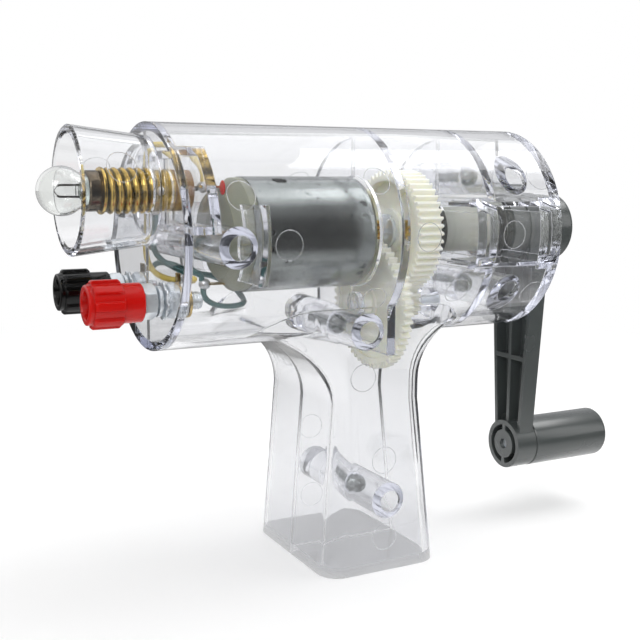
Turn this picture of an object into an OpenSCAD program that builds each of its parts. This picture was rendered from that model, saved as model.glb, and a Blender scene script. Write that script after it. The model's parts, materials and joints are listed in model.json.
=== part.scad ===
// Hand crank generator in a clear two-part casing.
// The frame has its origin at the middle of the foot's underside, +Z up and +X towards the crank.
// Depths along the barrel are measured from the outer face of the front plate.

/* [Barrel and grip] */
// Outside diameter of the barrel
barrel_d = 52; // [51.6:0.1:54]
// Length of the barrel over both end plates
barrel_len = 100; // [100:0.5:104]
// Height of the barrel's axis above the table
axis_h = 82; // [80:0.5:90]
// Wall of the clear moulding
wall = 2; // [1.8:0.05:2.1]
// Thickness of the end plates and bulkheads
plate_t = 2.2; // [2:0.05:2.3]
// Distance from the front plate back to the middle of the foot
overhang = 52.7; // [52:0.1:54]
// Gap between the two casing halves at the seam
seam = 0.1; // [0.05:0.01:0.2]
// Depth of the foot along the barrel
foot_depth = 32; // [31:0.5:36]
// Width of the foot across the seam
foot_w = 41.4; // [41:0.2:42]
// Width of the grip at its waist
waist_w = 40; // [39.6:0.1:40.8]
// Height of the waist above the table
waist_h = 42; // [40:0.5:44]
// Corner radius of the grip
grip_r = 5.4; // [4.5:0.1:6]

/* [Lamp] */
// Length of the lamp shroud in front of the plate
shroud_len = 17.7; // [16:0.1:19]
// Outside radius of the shroud at its rim
shroud_rim_r = 14.4; // [13.6:0.1:15]
// Outside radius of the shroud at the front plate
shroud_base_r = 12.4; // [12:0.1:13]
// Height of the lamp above the barrel's axis
lamp_rise = 10.6; // [10:0.1:11]
// Diameter of the bulb's glass
glass_d = 11; // [10.6:0.1:11.4]
// Inside radius of the threaded brass socket
socket_r = 4.3; // [4.2:0.05:4.4]
// Length of the threaded brass socket
socket_len = 12; // [11.5:0.1:12.5]

/* [Motor] */
// Diameter of the motor can
motor_d = 27.7; // [27:0.1:28]
// Length of the motor over can and end cap
motor_len = 36.7; // [36.2:0.1:37]
// Depth at which the motor starts
motor_at = 17.3; // [17:0.1:17.8]
// Length of the plastic end cap
end_cap_len = 5.4; // [5:0.1:6]
// Diameter of the motor shaft
motor_shaft_d = 2.3; // [2:0.1:2.4]

/* [Gear train] */
// Module of every gear
gear_m = 0.6; // [0.59:0.005:0.605]
// Teeth on the crank's gear
crank_teeth = 50; // [48:1:50]
// Teeth on the lay shaft's pinion
lay_pinion_teeth = 12; // [12:1:13]
// Teeth on the motor's pinion
motor_pinion_teeth = 8; // [8:1:9]
// Width of the crank's gear
crank_gear_w = 6.8; // [6:0.1:7]
// Width of the large gear on the lay shaft
lay_gear_w = 2.5; // [2:0.1:2.8]
// Diameter of the lay shaft
lay_axle_d = 2; // [1.8:0.1:2.2]

/* [Crank] */
// Radius of the crank shaft
shaft_r = 5.9; // [5.7:0.05:6]
// Distance from the crank's axis to the handle's
crank_throw = 61.5; // [58:0.5:64]
// Radius of the crank's upper hub
hub_r = 9.2; // [8.8:0.1:9.6]
// Radius of the crank's lower hub
eye_r = 6.8; // [6.4:0.1:7.2]
// Wall of the crank's moulding
crank_wall = 1.2; // [1:0.05:1.3]
// Radius of the handle
handle_r = 6.9; // [6.5:0.1:7.3]
// Length of the handle
handle_len = 25.9; // [24:0.1:28]

/* [Terminals] */
// Distance of the terminals' axes inside the barrel's outer face
post_in = 7.9; // [7.6:0.05:8.1]
// Angle of the terminals below the level of the barrel's axis
post_angle = 46.34; // [45.5:0.1:47]
// Radius of the four millimetre plug socket
plug_r = 2.02; // [2:0.01:2.05]
// Radius over the flutes of a terminal cap
cap_r = 5.3; // [5.1:0.05:5.4]
// Travel of a terminal cap as it is screwed open
cap_travel = 3; // [2:0.5:3.5]

/* [Screws] */
// Outside diameter of the screw tubes
tube_d = 8.9; // [8.6:0.1:9]
// Inside diameter of the screw tubes
tube_bore = 5.5; // [5.2:0.05:5.6]
// Diameter of the casing screws' thread
screw_d = 2.6; // [2.4:0.05:2.8]
// Length of the casing screws under the head
screw_len = 11; // [10:0.5:12]

/* [Hidden] */

// One overrun serves every cut
over = 0.5;
// Clearance of parts that turn in each other
run_gap = 0.05;
// Clearance of parts that seat in each other
seat_gap = 0.03;
// Clearance of the motor in its bulkheads, and of the lamp and studs in the casing
seat_fit = 0.12;
cradle_fit = 0.09;
// Clearance of the lay shaft's gear along its axle
end_play = 0.2;
// Clearance of wires and studs in what is soldered or screwed on them
wire_fit = 0.01;
round_fn = 64;
small_fn = 32;

// Radii and heights of the casing
barrel_r = barrel_d / 2;
corner_steps = 7;
waist_front = 13;
waist_rear = 11.4;
front_flare = [25, 18.5];
rear_flare_h = 47;
rear_flare = [22, 14];
neck_in = 12;
neck_top = axis_h - neck_in;
flare_levels = 12;
tip_r = 19;

// Bulkheads, each at its front face
mid_plate_at = 53.4;
rear_rib_at = 78.7;
end_plate_at = barrel_len - plate_t;
mid_plate_drop = 28.6;

// Bearing blocks of the crank shaft
block_t = 2.5;
slot_t = 1.1;
block_h = 8.6;
slot_h = 5.2;
washer_r = 8;
washer_t = 0.8;

// Screw tubes, as shares of the barrel's length and radius: depth, height over the barrel's axis
tube_shares = [[0.125, -0.04], [0.877, 0.53], [0.869, -0.55], [0.48, -0.865], [0.541, -2.49]];
tube_places = [for (s = tube_shares) [s[0] * barrel_len, s[1] * barrel_r]];
tube_floor = 4.5;
screw_head_r = 2.3;
screw_head_t = 1.8;

// Gear train
lay_teeth = crank_teeth + lay_pinion_teeth - motor_pinion_teeth;
train_c = gear_m * (crank_teeth + lay_pinion_teeth) / 2;
crank_gear_at = 64.2;
lay_gear_at = 59.3;
lay_hub_r = 3.2;
lay_boss_len = 1.6;
lay_hub_at = mid_plate_at + plate_t + lay_boss_len;
lay_end = 72.5;
motor_end = motor_at + motor_len;
pinion_at = 57.9;
pinion_len = 4.7;
addendum_share = 0.85;
dedendum_share = 1.2;
backlash = 0.12;
press_angle = 20;

// Lamp
lamp_h = axis_h + lamp_rise;
glass_r = glass_d / 2;
glass_t = 0.5;
socket_t = 0.4;
thread_crest = 0.5;
thread_pitch = 1.81;
socket_at = -10.8;
sleeve_end = 8.9;
glass_at = -18.7;
collar_at = -13.9;
collar_len = 2.5;
collar_r = 4.55;
bulb_end = -0.6;

// Motor inside
can_t = 1;
motor_r = motor_d / 2;
can_at = motor_at + end_cap_len;
can_edge = 2.6;
nose_r = 4;
nose_len = 2;
blade_h = 11.4;
blade_at = 13.9;
blade_w = 2.4;
blade_t = 0.5;

// Crank
hub_gap = 0.6;
hub_len = 18.55;
hub_at = barrel_len + hub_gap;
hub_end = hub_at + hub_len;
arm_set = 5.1;
arm_at = hub_at + arm_set;
eye_front = 1.2;
eye_len = 6.6;
eye_at = arm_at - eye_front;
eye_end = eye_at + eye_len;
handle_gap = 0.3;
handle_at = eye_end + handle_gap;
pin_r = 1.45;

// Terminals
post_y = (barrel_r - post_in) * cos(post_angle);
post_drop = (barrel_r - post_in) * sin(post_angle);
stud_r = 1.95;
post_r = 2.92;
cap_front = -17.6;
neck_r = 4.35;
cap_end = -5.5;
head_end = -10;
nut_flats = 7;
nut_t = 2.2;
outer_nut_t = 3;
nut_gap = 0.15;
outer_nut_at = cap_end + nut_gap;
wire_r = 0.7;

// Depth along the barrel as x
function fx(d) = d - overhang;

// A place at a depth, a distance across and a height over the barrel's axis
module at(d, y = 0, h = 0) translate([fx(d), y, axis_h + h]) children();

// A cylinder along the barrel from depth d0 to d1
module rod(d0, d1, r, y = 0, h = 0, fn = round_fn)
    at(d0, y, h) rotate([0, 90, 0]) cylinder(r = r, h = d1 - d0, $fn = fn);

// A ring along the barrel
module sleeve(d0, d1, r_out, r_in, y = 0, h = 0, fn = round_fn)
    difference() {
        rod(d0, d1, r_out, y, h, fn);
        rod(d0 - over, d1 + over, r_in, y, h, fn);
    }

// A turned shape whose points are [radius, depth]
module turned(points, y = 0, h = 0, fn = round_fn)
    at(0, y, h) rotate([0, 90, 0]) rotate_extrude($fn = fn) polygon(points);

// A flat outline in y and z, extruded from depth d0 to d1
module plate(d0, d1, y = 0, h = 0)
    at(d0, y, h) rotate([90, 0, 90]) linear_extrude(d1 - d0) children();

// A block from depth d0 to d1, between two widths and two heights over the axis
module block(d0, d1, y0, y1, h0, h1)
    at(d0, y0, h0) cube([d1 - d0, y1 - y0, h1 - h0]);

// Points on an arc about [cx, cy], from angle a0 to a1
function arc(cx, cy, r, a0, a1, steps) =
    [for (i = [0:steps]) let (a = a0 + (a1 - a0) * i / steps) [cx + r * cos(a), cy + r * sin(a)]];

// Involute function in degrees
function inv(a) = tan(a) * 180 / PI - a;

// Half the angle that a tooth takes up at radius rho
function half_tooth(rho, n) =
    let (pitch_r = gear_m * n / 2,
         base_r = pitch_r * cos(press_angle),
         at_pitch = (PI * gear_m / 2 - backlash / 2) / pitch_r / 2 * 180 / PI,
         there = max(rho, base_r))
    at_pitch + inv(press_angle) - inv(acos(base_r / there));

// Outline of a gear with n teeth, one of them centred on angle phase
module gear_outline(n, phase) {
    pitch_r = gear_m * n / 2;
    base_r = pitch_r * cos(press_angle);
    root_r = pitch_r - dedendum_share * gear_m;
    tip = pitch_r + addendum_share * gear_m;
    radii = [root_r, max(base_r, root_r + gear_m / 8), pitch_r, (pitch_r + tip) / 2, tip];
    last = len(radii) - 1;
    polygon([for (k = [0:n - 1], j = [0:2 * last + 1])
        let (rising = j <= last,
             rho = radii[rising ? j : 2 * last + 1 - j],
             a = phase + 360 * k / n + (rising ? -1 : 1) * half_tooth(rho, n))
        [rho * cos(a), rho * sin(a)]]);
}

// How far a flare stands out at height z, a quarter ellipse from height z0 up
function flare(z, z0, size) =
    z <= z0 ? 0 : size[0] * (1 - sqrt(max(0, 1 - pow(min(1, (z - z0) / size[1]), 2))));

// Front and rear of the grip at height z, without its flares
function grip_front(z) = -foot_depth / 2 + (foot_depth / 2 - waist_front) * z / waist_h;
function grip_rear(z) = foot_depth / 2 + (waist_rear - foot_depth / 2) * min(1, z / waist_h);
function grip_half(z) = (foot_w + (waist_w - foot_w) * min(1, z / waist_h)) / 2;

// One level of the grip: a rectangle with round corners, drawn in by inset
function grip_level(z, inset) =
    let (f = flare(z, waist_h, front_flare),
         b = flare(z, rear_flare_h, rear_flare),
         x0 = grip_front(min(z, waist_h)) - f + inset,
         x1 = grip_rear(min(z, rear_flare_h)) + b - inset,
         w = grip_half(z) - inset,
         rf = grip_r + (tip_r - grip_r) * f / front_flare[0] - inset,
         rb = grip_r + (tip_r - grip_r) * b / rear_flare[0] - inset,
         corners = concat(arc(x1 - rb, w - rb, rb, 0, 90, corner_steps),
                          arc(x0 + rf, w - rf, rf, 90, 180, corner_steps),
                          arc(x0 + rf, rf - w, rf, 180, 270, corner_steps),
                          arc(x1 - rb, rb - w, rb, 270, 360, corner_steps)))
    [for (p = corners) [p[0], p[1], z]];

// The grip as a skin over its levels, from height z0
module grip_body(z0, inset) {
    span = front_flare[1];
    heights = concat([z0, waist_h], [for (i = [1:flare_levels]) waist_h + span * sin(90 * i / flare_levels)],
                     [neck_top]);
    rings = [for (z = heights) grip_level(z, inset)];
    n = len(rings[0]);
    top = len(rings) - 1;
    points = [for (ring = rings, p = ring) p];
    sides = [for (k = [0:top - 1], i = [0:n - 1])
        let (j = (i + 1) % n)
        each [[k * n + i, (k + 1) * n + i, (k + 1) * n + j], [k * n + i, (k + 1) * n + j, k * n + j]]];
    polyhedron(points, concat([[for (i = [0:n - 1]) i]], sides, [[for (i = [n - 1:-1:0]) top * n + i]]));
}

// The casing's outer form, drawn in by inset
module casing_form(inset, z0) {
    rod(inset, barrel_len - inset, barrel_r - inset);
    grip_body(z0, inset);
}

// The clear lamp shroud
module shroud() {
    edge = wall / 4;
    turned([[shroud_base_r, plate_t / 2], [shroud_base_r, 0], [shroud_rim_r, edge - shroud_len],
            [shroud_rim_r - edge, -shroud_len], [shroud_rim_r - wall + edge, -shroud_len],
            [shroud_rim_r - wall, edge - shroud_len], [shroud_base_r - wall, 0],
            [shroud_base_r - wall, plate_t / 2]], h = lamp_rise);
}

// Everything moulded inside both halves alike
module inner_ribs() {
    lip = plate_t / 2;
    // Mid bulkhead round the motor, reaching down into the grip
    difference() {
        block(mid_plate_at, mid_plate_at + plate_t, -barrel_r, barrel_r, -mid_plate_drop, barrel_r);
        rod(mid_plate_at - over, mid_plate_at + plate_t + over, motor_r + seat_fit);
    }
    rod(mid_plate_at + lip, lay_hub_at - end_play, lay_hub_r, h = -train_c, fn = small_fn);
    // Rear bulkhead and the two bearing blocks
    plate(rear_rib_at, rear_rib_at + plate_t) circle(barrel_r, $fn = round_fn);
    rod(lay_end + 1.5 * end_play, rear_rib_at + lip, lay_hub_r, h = -train_c, fn = small_fn);
    for (d = [rear_rib_at, end_plate_at])
        block(d - slot_t - block_t, d + lip, -barrel_r, barrel_r, -block_h, block_h);
    // Half ring that holds the end cap
    difference() {
        block(motor_at + ring_set, motor_at + ring_set + plate_t, -barrel_r, barrel_r, -block_h - ring_drop,
              block_h - ring_drop);
        rod(motor_at, motor_at + 2 * plate_t, motor_r + seat_fit);
    }
    // Guide ribs beside the crank shaft
    for (s = [-1, 1], side = [-1, 1])
        block(crank_gear_at + crank_gear_w + wall, end_plate_at + lip,
              side > 0 ? washer_r + wall / 2 : -barrel_r, side > 0 ? barrel_r : -washer_r - wall / 2,
              s * guide_h - wall / 4, s * guide_h + wall / 4);
    // Cradle of the lamp socket
    for (side = [-1, 1]) {
        block(rib_at, rib_at + plate_t, side > 0 ? over : -barrel_r, side > 0 ? barrel_r : -over,
              lamp_rise - cradle_h, lamp_rise + cradle_h);
        for (s = [-1, 1])
            block(lip, rib_at + lip, side > 0 ? cradle_y : -barrel_r, side > 0 ? barrel_r : -cradle_y,
                  lamp_rise + s * (cradle_h - cradle_t / 2) - cradle_t / 2,
                  lamp_rise + s * (cradle_h - cradle_t / 2) + cradle_t / 2);
    }
}
ring_set = 0.6;
ring_drop = 1;
guide_h = 7.2;
rib_at = 6.4;
cradle_h = 8.7;
cradle_t = 1.6;
cradle_y = 7.2;

// Bores and slots that the ribs need
module rib_cuts() {
    lip = plate_t / 2;
    rod(crank_gear_at, barrel_len + over, shaft_r + run_gap);
    for (d = [rear_rib_at, end_plate_at]) {
        rod(d - slot_t, d, washer_r + wall / 4);
        intersection() {
            block(d - slot_t, d, -barrel_r, barrel_r, -slot_h, slot_h);
            rod(d - slot_t, d, barrel_r - wall);
        }
    }
    rod(mid_plate_at + lip, rear_rib_at + lip, lay_axle_d / 2 + seat_gap, h = -train_c, fn = small_fn);
    rod(-over, sleeve_end + 2 * plate_t, socket_r + socket_t + cradle_fit, h = lamp_rise);
    rod(-over, plate_t + over, socket_r + thread_crest + socket_t + cradle_fit, h = lamp_rise);
    for (s = [-1, 1])
        rod(-over, plate_t + over, stud_r + cradle_fit, s * post_y, -post_drop, small_fn);
}

// Cylinder across the seam at a screw's place
module across(place, y0, y1, r, fn = small_fn)
    at(place[0], y0, place[1]) rotate([-90, 0, 0]) cylinder(r = r, h = y1 - y0, $fn = fn);

// Both halves as one hollow form
module casing_whole() {
    difference() {
        union() {
            difference() {
                casing_form(0, 0);
                rod(plate_t, end_plate_at, barrel_r - wall);
                grip_body(wall, wall);
            }
            shroud();
            intersection() {
                casing_form(wall / 2, wall / 2);
                union() {
                    inner_ribs();
                    for (p = tube_places)
                        across(p, -barrel_r, barrel_r, tube_d / 2);
                }
            }
        }
        rib_cuts();
        for (p = tube_places) {
            across(p, -barrel_r - over, -tube_floor, tube_bore / 2);
            across(p, -tube_floor - over, seam, screw_d / 2 + cradle_fit);
            across(p, 0, screw_len - tube_floor + wall, screw_d / 2 + seat_gap);
        }
    }
}

// The half on one side of the seam
module casing_half(side) {
    reach = barrel_len + shroud_len;
    intersection() {
        casing_whole();
        translate([-reach, side > 0 ? seam / 2 : -reach, -over])
            cube([2 * reach, reach - seam / 2, axis_h + barrel_d]);
    }
}

module casing_left() { color([0.85, 0.88, 0.9, 0.4]) casing_half(-1); }
module casing_right() { color([0.8, 0.84, 0.88, 0.4]) casing_half(1); }

module casing_screws() {
    color("silver") for (p = tube_places) {
        head = -tube_floor - seat_gap;
        difference() {
            union() {
                across(p, head - screw_head_t / 2, head, screw_head_r);
                at(p[0], head - screw_head_t / 2, p[1]) domed_head();
                across(p, head - seat_gap, screw_len - tube_floor, screw_d / 2);
            }
            at(p[0], head - screw_head_t - over, p[1]) screw_cross();
        }
    }
}

// The domed top of a screw head, a low revolve
module domed_head() {
    rise = screw_head_t / 2;
    flat = screw_head_r / 2;
    rotate([90, 0, 0]) rotate_extrude($fn = small_fn)
        polygon(concat([[0, 0], [screw_head_r, 0]],
                       [for (i = [1:4]) [flat + (screw_head_r - flat) * cos(90 * i / 4), rise * sin(90 * i / 4)]],
                       [[0, rise]]));
}

// The cross recess of a screw
module screw_cross() {
    arm = screw_head_r * cross_arm_share;
    t = screw_head_r * cross_t_share;
    deep = screw_head_t * cross_deep_share + over;
    for (a = [0, 90]) rotate([0, a, 0]) translate([-arm, 0, -t]) cube([2 * arm, deep, 2 * t]);
}

cross_arm_share = 0.62;
cross_t_share = 0.2;
cross_deep_share = 0.6;

module motor_can() {
    inner_r = motor_r - can_t;
    color([0.55, 0.57, 0.58]) difference() {
        turned(concat([[inner_r, can_at], [motor_r, can_at]],
                      arc_r(motor_r - can_edge, motor_end - can_edge, can_edge),
                      [[nose_r, motor_end], [nose_r, motor_end + nose_len],
                       [bush_r, motor_end + nose_len], [bush_r, motor_end - can_t],
                       [inner_r - can_edge, motor_end - can_t], [inner_r, motor_end - can_edge - can_t]]));
        // Two vents near the end cap, and an oval one on top
        for (a = vent_angles) can_hole(can_at + vent_in, a, vent_d);
        for (s = [-1, 1]) can_hole(can_at + oval_in + s * vent_d / 4, oval_angle, 2 * vent_d);
        // Short slots where the rear end is staked
        for (a = stake_angles) at(motor_end - can_edge - stake_in, 0, 0) rotate([a, 0, 0])
            translate([0, motor_r - can_t / 2, -stake_w / 2]) cube([stake_len, can_t, stake_w]);
    }
}
bush_r = 2.6;
vent_d = 1.5;
vent_in = 2.4;
vent_angles = [175, 190];
oval_in = 8.3;
oval_angle = 111;
stake_angles = [148, 162, 212, 221];
stake_in = 2.2;
stake_len = 1.6;
stake_w = 1.4;

// A round hole in the can's wall at depth d, turned by an angle from the level
module can_hole(d, turn, size)
    at(d, 0, 0) rotate([turn, 0, 0]) translate([0, motor_r / 2, 0]) rotate([-90, 0, 0])
        cylinder(d = size, h = motor_r, $fn = small_fn);

// A quarter turn of edge in [radius, depth], from the side to the end
function arc_r(r, d, edge) = [for (i = [0:4]) [r + edge * cos(90 * i / 4), d + edge * sin(90 * i / 4)]];

module motor_magnets() {
    outer = motor_r - can_t - seat_gap;
    inner = outer - magnet_t;
    spread = 64;
    color([0.25, 0.25, 0.27]) for (s = [0, 180])
        plate(can_at + can_t, motor_end - can_edge - 2 * can_t)
            polygon(concat(arc(0, 0, outer, s - spread, s + spread, 16), arc(0, 0, inner, s + spread, s - spread, 16)));
}
magnet_t = 3;
armature_r = 9.2;

module motor_end_cap() {
    rim = motor_r - 2 * seat_fit;
    plug = motor_r - can_t - seat_gap;
    bevel = rim / 4;
    color([0.78, 0.79, 0.74]) difference() {
        turned([[bush_r, motor_at], [rim - bevel, motor_at], [rim, motor_at + bevel], [rim, can_at - seat_gap],
                [plug, can_at - seat_gap], [plug, can_at + can_t - seat_gap], [plug - can_t, can_at + can_t - seat_gap],
                [plug - can_t, motor_at + bevel + can_t], [rim - bevel - can_t, motor_at + 2 * can_t],
                [bush_r, motor_at + 2 * can_t]]);
        for (s = [-1, 1])
            block(motor_at - over, motor_at + bevel + 3 * can_t, -blade_w / 2 - seat_gap, blade_w / 2 + seat_gap,
                  s * blade_h - blade_t / 2 - seat_gap, s * blade_h + blade_t / 2 + seat_gap);
    }
}

module motor_terminals() {
    color([0.8, 0.72, 0.45]) for (s = [-1, 1]) difference() {
        block(blade_at, motor_at + 3 * can_t, -blade_w / 2, blade_w / 2,
              s * blade_h - blade_t / 2, s * blade_h + blade_t / 2);
        at(blade_at + blade_w / 2, 0, s * blade_h - blade_t) cylinder(d = blade_w / 3, h = 2 * blade_t, $fn = small_fn);
    }
}

module motor_bushes() {
    hole = motor_shaft_d / 2 + run_gap;
    color([0.62, 0.5, 0.32]) {
        sleeve(motor_end - can_t, motor_end + nose_len, bush_r - seat_gap, hole, fn = small_fn);
        sleeve(motor_at, motor_at + 2 * can_t, bush_r - seat_gap, hole, fn = small_fn);
    }
}

// Laminated core with three slots for the windings
module armature() {
    color([0.5, 0.5, 0.52]) difference() {
        rod(core_at, core_end, armature_r);
        rod(core_at - over, core_end + over, motor_shaft_d / 2 + seat_gap, fn = small_fn);
        for (a = [0, 120, 240]) at(core_at - over) rotate([a, 0, 0])
            translate([0, armature_r * slot_share, -slot_w / 2]) cube([core_end - core_at + 2 * over, armature_r, slot_w]);
    }
}
core_in = 6;
core_at = can_at + core_in;
core_end = motor_end - core_in;
slot_share = 0.42;
slot_w = 3;

module armature_windings() {
    color([0.72, 0.38, 0.16]) for (a = [0, 120, 240]) at(core_at - winding_t) rotate([a, 0, 0])
        translate([0, armature_r * winding_share, winding_fit - slot_w / 2])
            cube([core_end - core_at + 2 * winding_t, armature_r * winding_share, slot_w - 2 * winding_fit]);
}
winding_t = 2;
winding_share = 0.45;
winding_fit = 0.06;

module commutator() {
    color([0.72, 0.45, 0.2])
        sleeve(motor_at + 3 * can_t, core_at - winding_t / 2, commutator_r, motor_shaft_d / 2 + seat_gap, fn = small_fn);
}

commutator_r = 3.2;

module motor_shaft() {
    color([0.75, 0.76, 0.78]) rod(motor_at, pinion_at + pinion_len, motor_shaft_d / 2, fn = small_fn);
}

module motor_pinion() {
    color([0.82, 0.7, 0.4]) difference() {
        plate(pinion_at, pinion_at + pinion_len) gear_outline(motor_pinion_teeth, pinion_phase);
        rod(pinion_at - over, pinion_at + pinion_len + over, motor_shaft_d / 2 + wire_fit, fn = small_fn);
    }
}

module lay_axle() {
    color([0.7, 0.71, 0.73])
        rod(mid_plate_at + plate_t / 2 + seat_gap, rear_rib_at + plate_t / 2 - seat_gap, lay_axle_d / 2, h = -train_c,
            fn = small_fn);
}

// Large gear, hub and pinion of the lay shaft, one moulding
module lay_gear() {
    web_r = gear_m * (lay_teeth / 2 - rim_teeth);
    dish = lay_gear_w / 4;
    color([0.93, 0.91, 0.8]) difference() {
        union() {
            plate(lay_gear_at, lay_gear_at + lay_gear_w, h = -train_c) gear_outline(lay_teeth, lay_phase);
            rod(lay_hub_at, lay_gear_at + dish, lay_hub_r, h = -train_c, fn = small_fn);
            plate(lay_gear_at + dish, lay_end, h = -train_c) gear_outline(lay_pinion_teeth, lay_pinion_phase);
        }
        rod(lay_hub_at - over, lay_end + over, lay_axle_d / 2 + run_gap, h = -train_c, fn = small_fn);
        sleeve(lay_gear_at - over, lay_gear_at + dish, web_r, lay_hub_r + 2 * gear_m, h = -train_c);
    }
}

// A tooth of one gear meets a gap of the other on the line between the centres
lay_phase = 90;
pinion_phase = -90 + 180 / motor_pinion_teeth;
lay_pinion_phase = 90;
crank_phase = -90 + 180 / crank_teeth;

module crank_gear() {
    rim_r = gear_m * (crank_teeth / 2 - rim_teeth);
    gear_hub_r = shaft_r - seat_fit;
    web = crank_gear_w / 3;
    d1 = crank_gear_at + crank_gear_w;
    color([0.94, 0.92, 0.82]) difference() {
        plate(crank_gear_at, d1) gear_outline(crank_teeth, crank_phase);
        rod(crank_gear_at - over, crank_gear_at + hub_set, rim_r);
        sleeve(crank_gear_at, crank_gear_at + web, rim_r, gear_hub_r);
        sleeve(d1 - web, d1 + over, rim_r, gear_hub_r + wall);
        rod(crank_gear_at, d1 + over, spigot_r + seat_gap, fn = small_fn);
    }
}
hub_set = 1.2;
rim_teeth = 3.6;
spigot_r = 3.6;

module crank_shaft() {
    front = crank_gear_at + hub_set + seat_gap;
    shoulder = crank_gear_at + crank_gear_w + seat_gap;
    color([0.5, 0.5, 0.5]) difference() {
        union() {
            rod(front, shoulder + over, spigot_r, fn = small_fn);
            rod(shoulder, arm_at + 2 * plate_t, shaft_r);
        }
        rod(front - over, front + gear_screw_len + seat_gap, gear_screw_r + wire_fit, fn = small_fn);
    }
}
gear_screw_len = 7;
gear_screw_r = 1.3;
head_share = 0.8;
rim_share = 1.2;

module shaft_washers() {
    color([0.12, 0.12, 0.13]) for (d = [rear_rib_at, end_plate_at])
        sleeve(d - slot_t / 2 - washer_t / 2, d - slot_t / 2 + washer_t / 2, washer_r, shaft_r + seat_gap / 2);
}

module gear_screw() {
    front = crank_gear_at + hub_set - seat_gap;
    head_t = hub_set * head_share;
    color([0.75, 0.76, 0.78]) difference() {
        union() {
            rod(front - head_t, front, spigot_r * rim_share, fn = small_fn);
            rod(front - seat_gap, front + gear_screw_len, gear_screw_r, fn = small_fn);
        }
        block(front - head_t - over, front - head_t / 2, -spigot_r, spigot_r, -slot_t / 3, slot_t / 3);
    }
}

// Outline of the arm in y and height below the axis, drawn in by inset
function arm_half(h) = (arm_top_w + (arm_low_w - arm_top_w) * h / crank_throw) / 2;
arm_top_w = 19.2;
arm_low_w = 10.4;
arm_top_t = 4.9;
arm_low_t = 4.6;
cross_rib_h = 36.3;
eye_wall = 1.3;
eye_boss_r = 4;
eye_floor = 2.9;

module arm_outline(inset)
    polygon([[arm_half(0) - inset, 0], [arm_half(crank_throw) - inset, -crank_throw],
             [inset - arm_half(crank_throw), -crank_throw], [inset - arm_half(0), 0]]);

// Tapered thickness of the arm, drawn in by inset at the back
module arm_side(inset)
    at(0) rotate([90, 0, 0]) linear_extrude(2 * hub_r, center = true)
        polygon([[arm_at, 0], [arm_at + arm_top_t - inset, 0], [arm_at + arm_low_t - inset, -crank_throw],
                 [arm_at, -crank_throw]]);

module crank_arm() {
    reach = hub_end - arm_at;
    edge = crank_wall;
    pocket = eye_end - eye_floor;
    hub_pocket = arm_at + arm_top_t;
    color([0.5, 0.51, 0.51]) difference() {
        union() {
            turned(concat([[0, hub_at], [hub_r, hub_at]], arc_r(hub_r - edge, hub_end - edge, edge), [[0, hub_end]]));
            rod(arm_at, arm_at + arm_top_t, arm_top_w / 2);
            difference() {
                intersection() {
                    plate(arm_at, hub_end) arm_outline(0);
                    arm_side(0);
                }
                intersection() {
                    plate(arm_at - over, arm_at + reach) arm_outline(crank_wall);
                    arm_side(crank_wall);
                }
            }
            // Lengthwise rib and one cross rib in the channel
            intersection() {
                union() {
                    block(arm_at, hub_end, -crank_wall / 2, crank_wall / 2, -crank_throw, 0);
                    block(arm_at, hub_end, -hub_r, hub_r, -cross_rib_h - crank_wall / 2, crank_wall / 2 - cross_rib_h);
                }
                plate(arm_at, hub_end) arm_outline(crank_wall / 2);
                arm_side(crank_wall / 2);
            }
            rod(eye_at, eye_end, eye_r, h = -crank_throw);
        }
        // Ring pocket in the lower hub, crossed by a web above and below the pin
        difference() {
            sleeve(eye_at - over, pocket, eye_r - eye_wall, eye_boss_r, h = -crank_throw);
            block(eye_at - over, eye_end, -crank_wall / 2, crank_wall / 2, -crank_throw - eye_r, eye_r - crank_throw);
        }
        // Ring pocket in the upper hub, crossed by spokes
        difference() {
            sleeve(hub_at - over, hub_pocket, hub_r - crank_wall, shaft_r + crank_wall);
            for (a = [0:45:135]) at(hub_at - over) rotate([a, 0, 0])
                translate([0, -hub_r, -crank_wall / 2]) cube([reach, 2 * hub_r, crank_wall]);
        }
        rod(hub_at - over, arm_at + 2 * plate_t + seat_gap, shaft_r + seat_gap);
        rod(eye_at - over, eye_end + over, pin_r + seat_gap, h = -crank_throw, fn = small_fn);
    }
}

module handle_pin() {
    inner_end = handle_at + handle_len * pin_share;
    color([0.75, 0.76, 0.78]) union() {
        rod(eye_at + crank_wall, inner_end, pin_r, h = -crank_throw, fn = small_fn);
        rod(inner_end - 2 * pin_r, inner_end - pin_r, pin_r * groove_share, h = -crank_throw, fn = small_fn);
    }
}

pin_share = 0.8;
groove_share = 1.5;

module handle() {
    inner_end = handle_at + handle_len * pin_share;
    edge = handle_edge;
    far = handle_at + handle_len;
    hole = pin_r + run_gap;
    groove = pin_r * groove_share + run_gap;
    color([0.5, 0.51, 0.51])
        turned(concat([[hole, handle_at], [handle_r - edge / 4, handle_at], [handle_r, handle_at + edge / 4]],
                      arc_r(handle_r - edge, far - edge, edge), [[0, far], [0, inner_end + run_gap],
                      [hole, inner_end + run_gap], [hole, inner_end - pin_r + run_gap],
                      [groove, inner_end - pin_r + run_gap], [groove, inner_end - 2 * pin_r - run_gap],
                      [hole, inner_end - 2 * pin_r - run_gap]]), h = -crank_throw);
}

handle_edge = 1;

// Bulb glass in [radius, depth]: a dome and a neck that draws in to the base
function glass_side(inset) =
    concat([[glass_neck_r - inset, collar_at + collar_len / 2], [glass_neck_r - inset, collar_at]],
           [for (i = [0:12]) let (a = -20 + 110 * i / 12)
               [(glass_r - inset) * cos(a), glass_at - (glass_r - inset) * sin(a)]]);
glass_neck_r = 4.05;

module bulb_glass() {
    outer = glass_side(0);
    inner = glass_side(glass_t);
    last = len(inner) - 1;
    color([0.85, 0.9, 0.92, 0.35]) turned(concat(outer, [for (i = [last:-1:0]) inner[i]]), h = lamp_rise);
}

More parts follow.
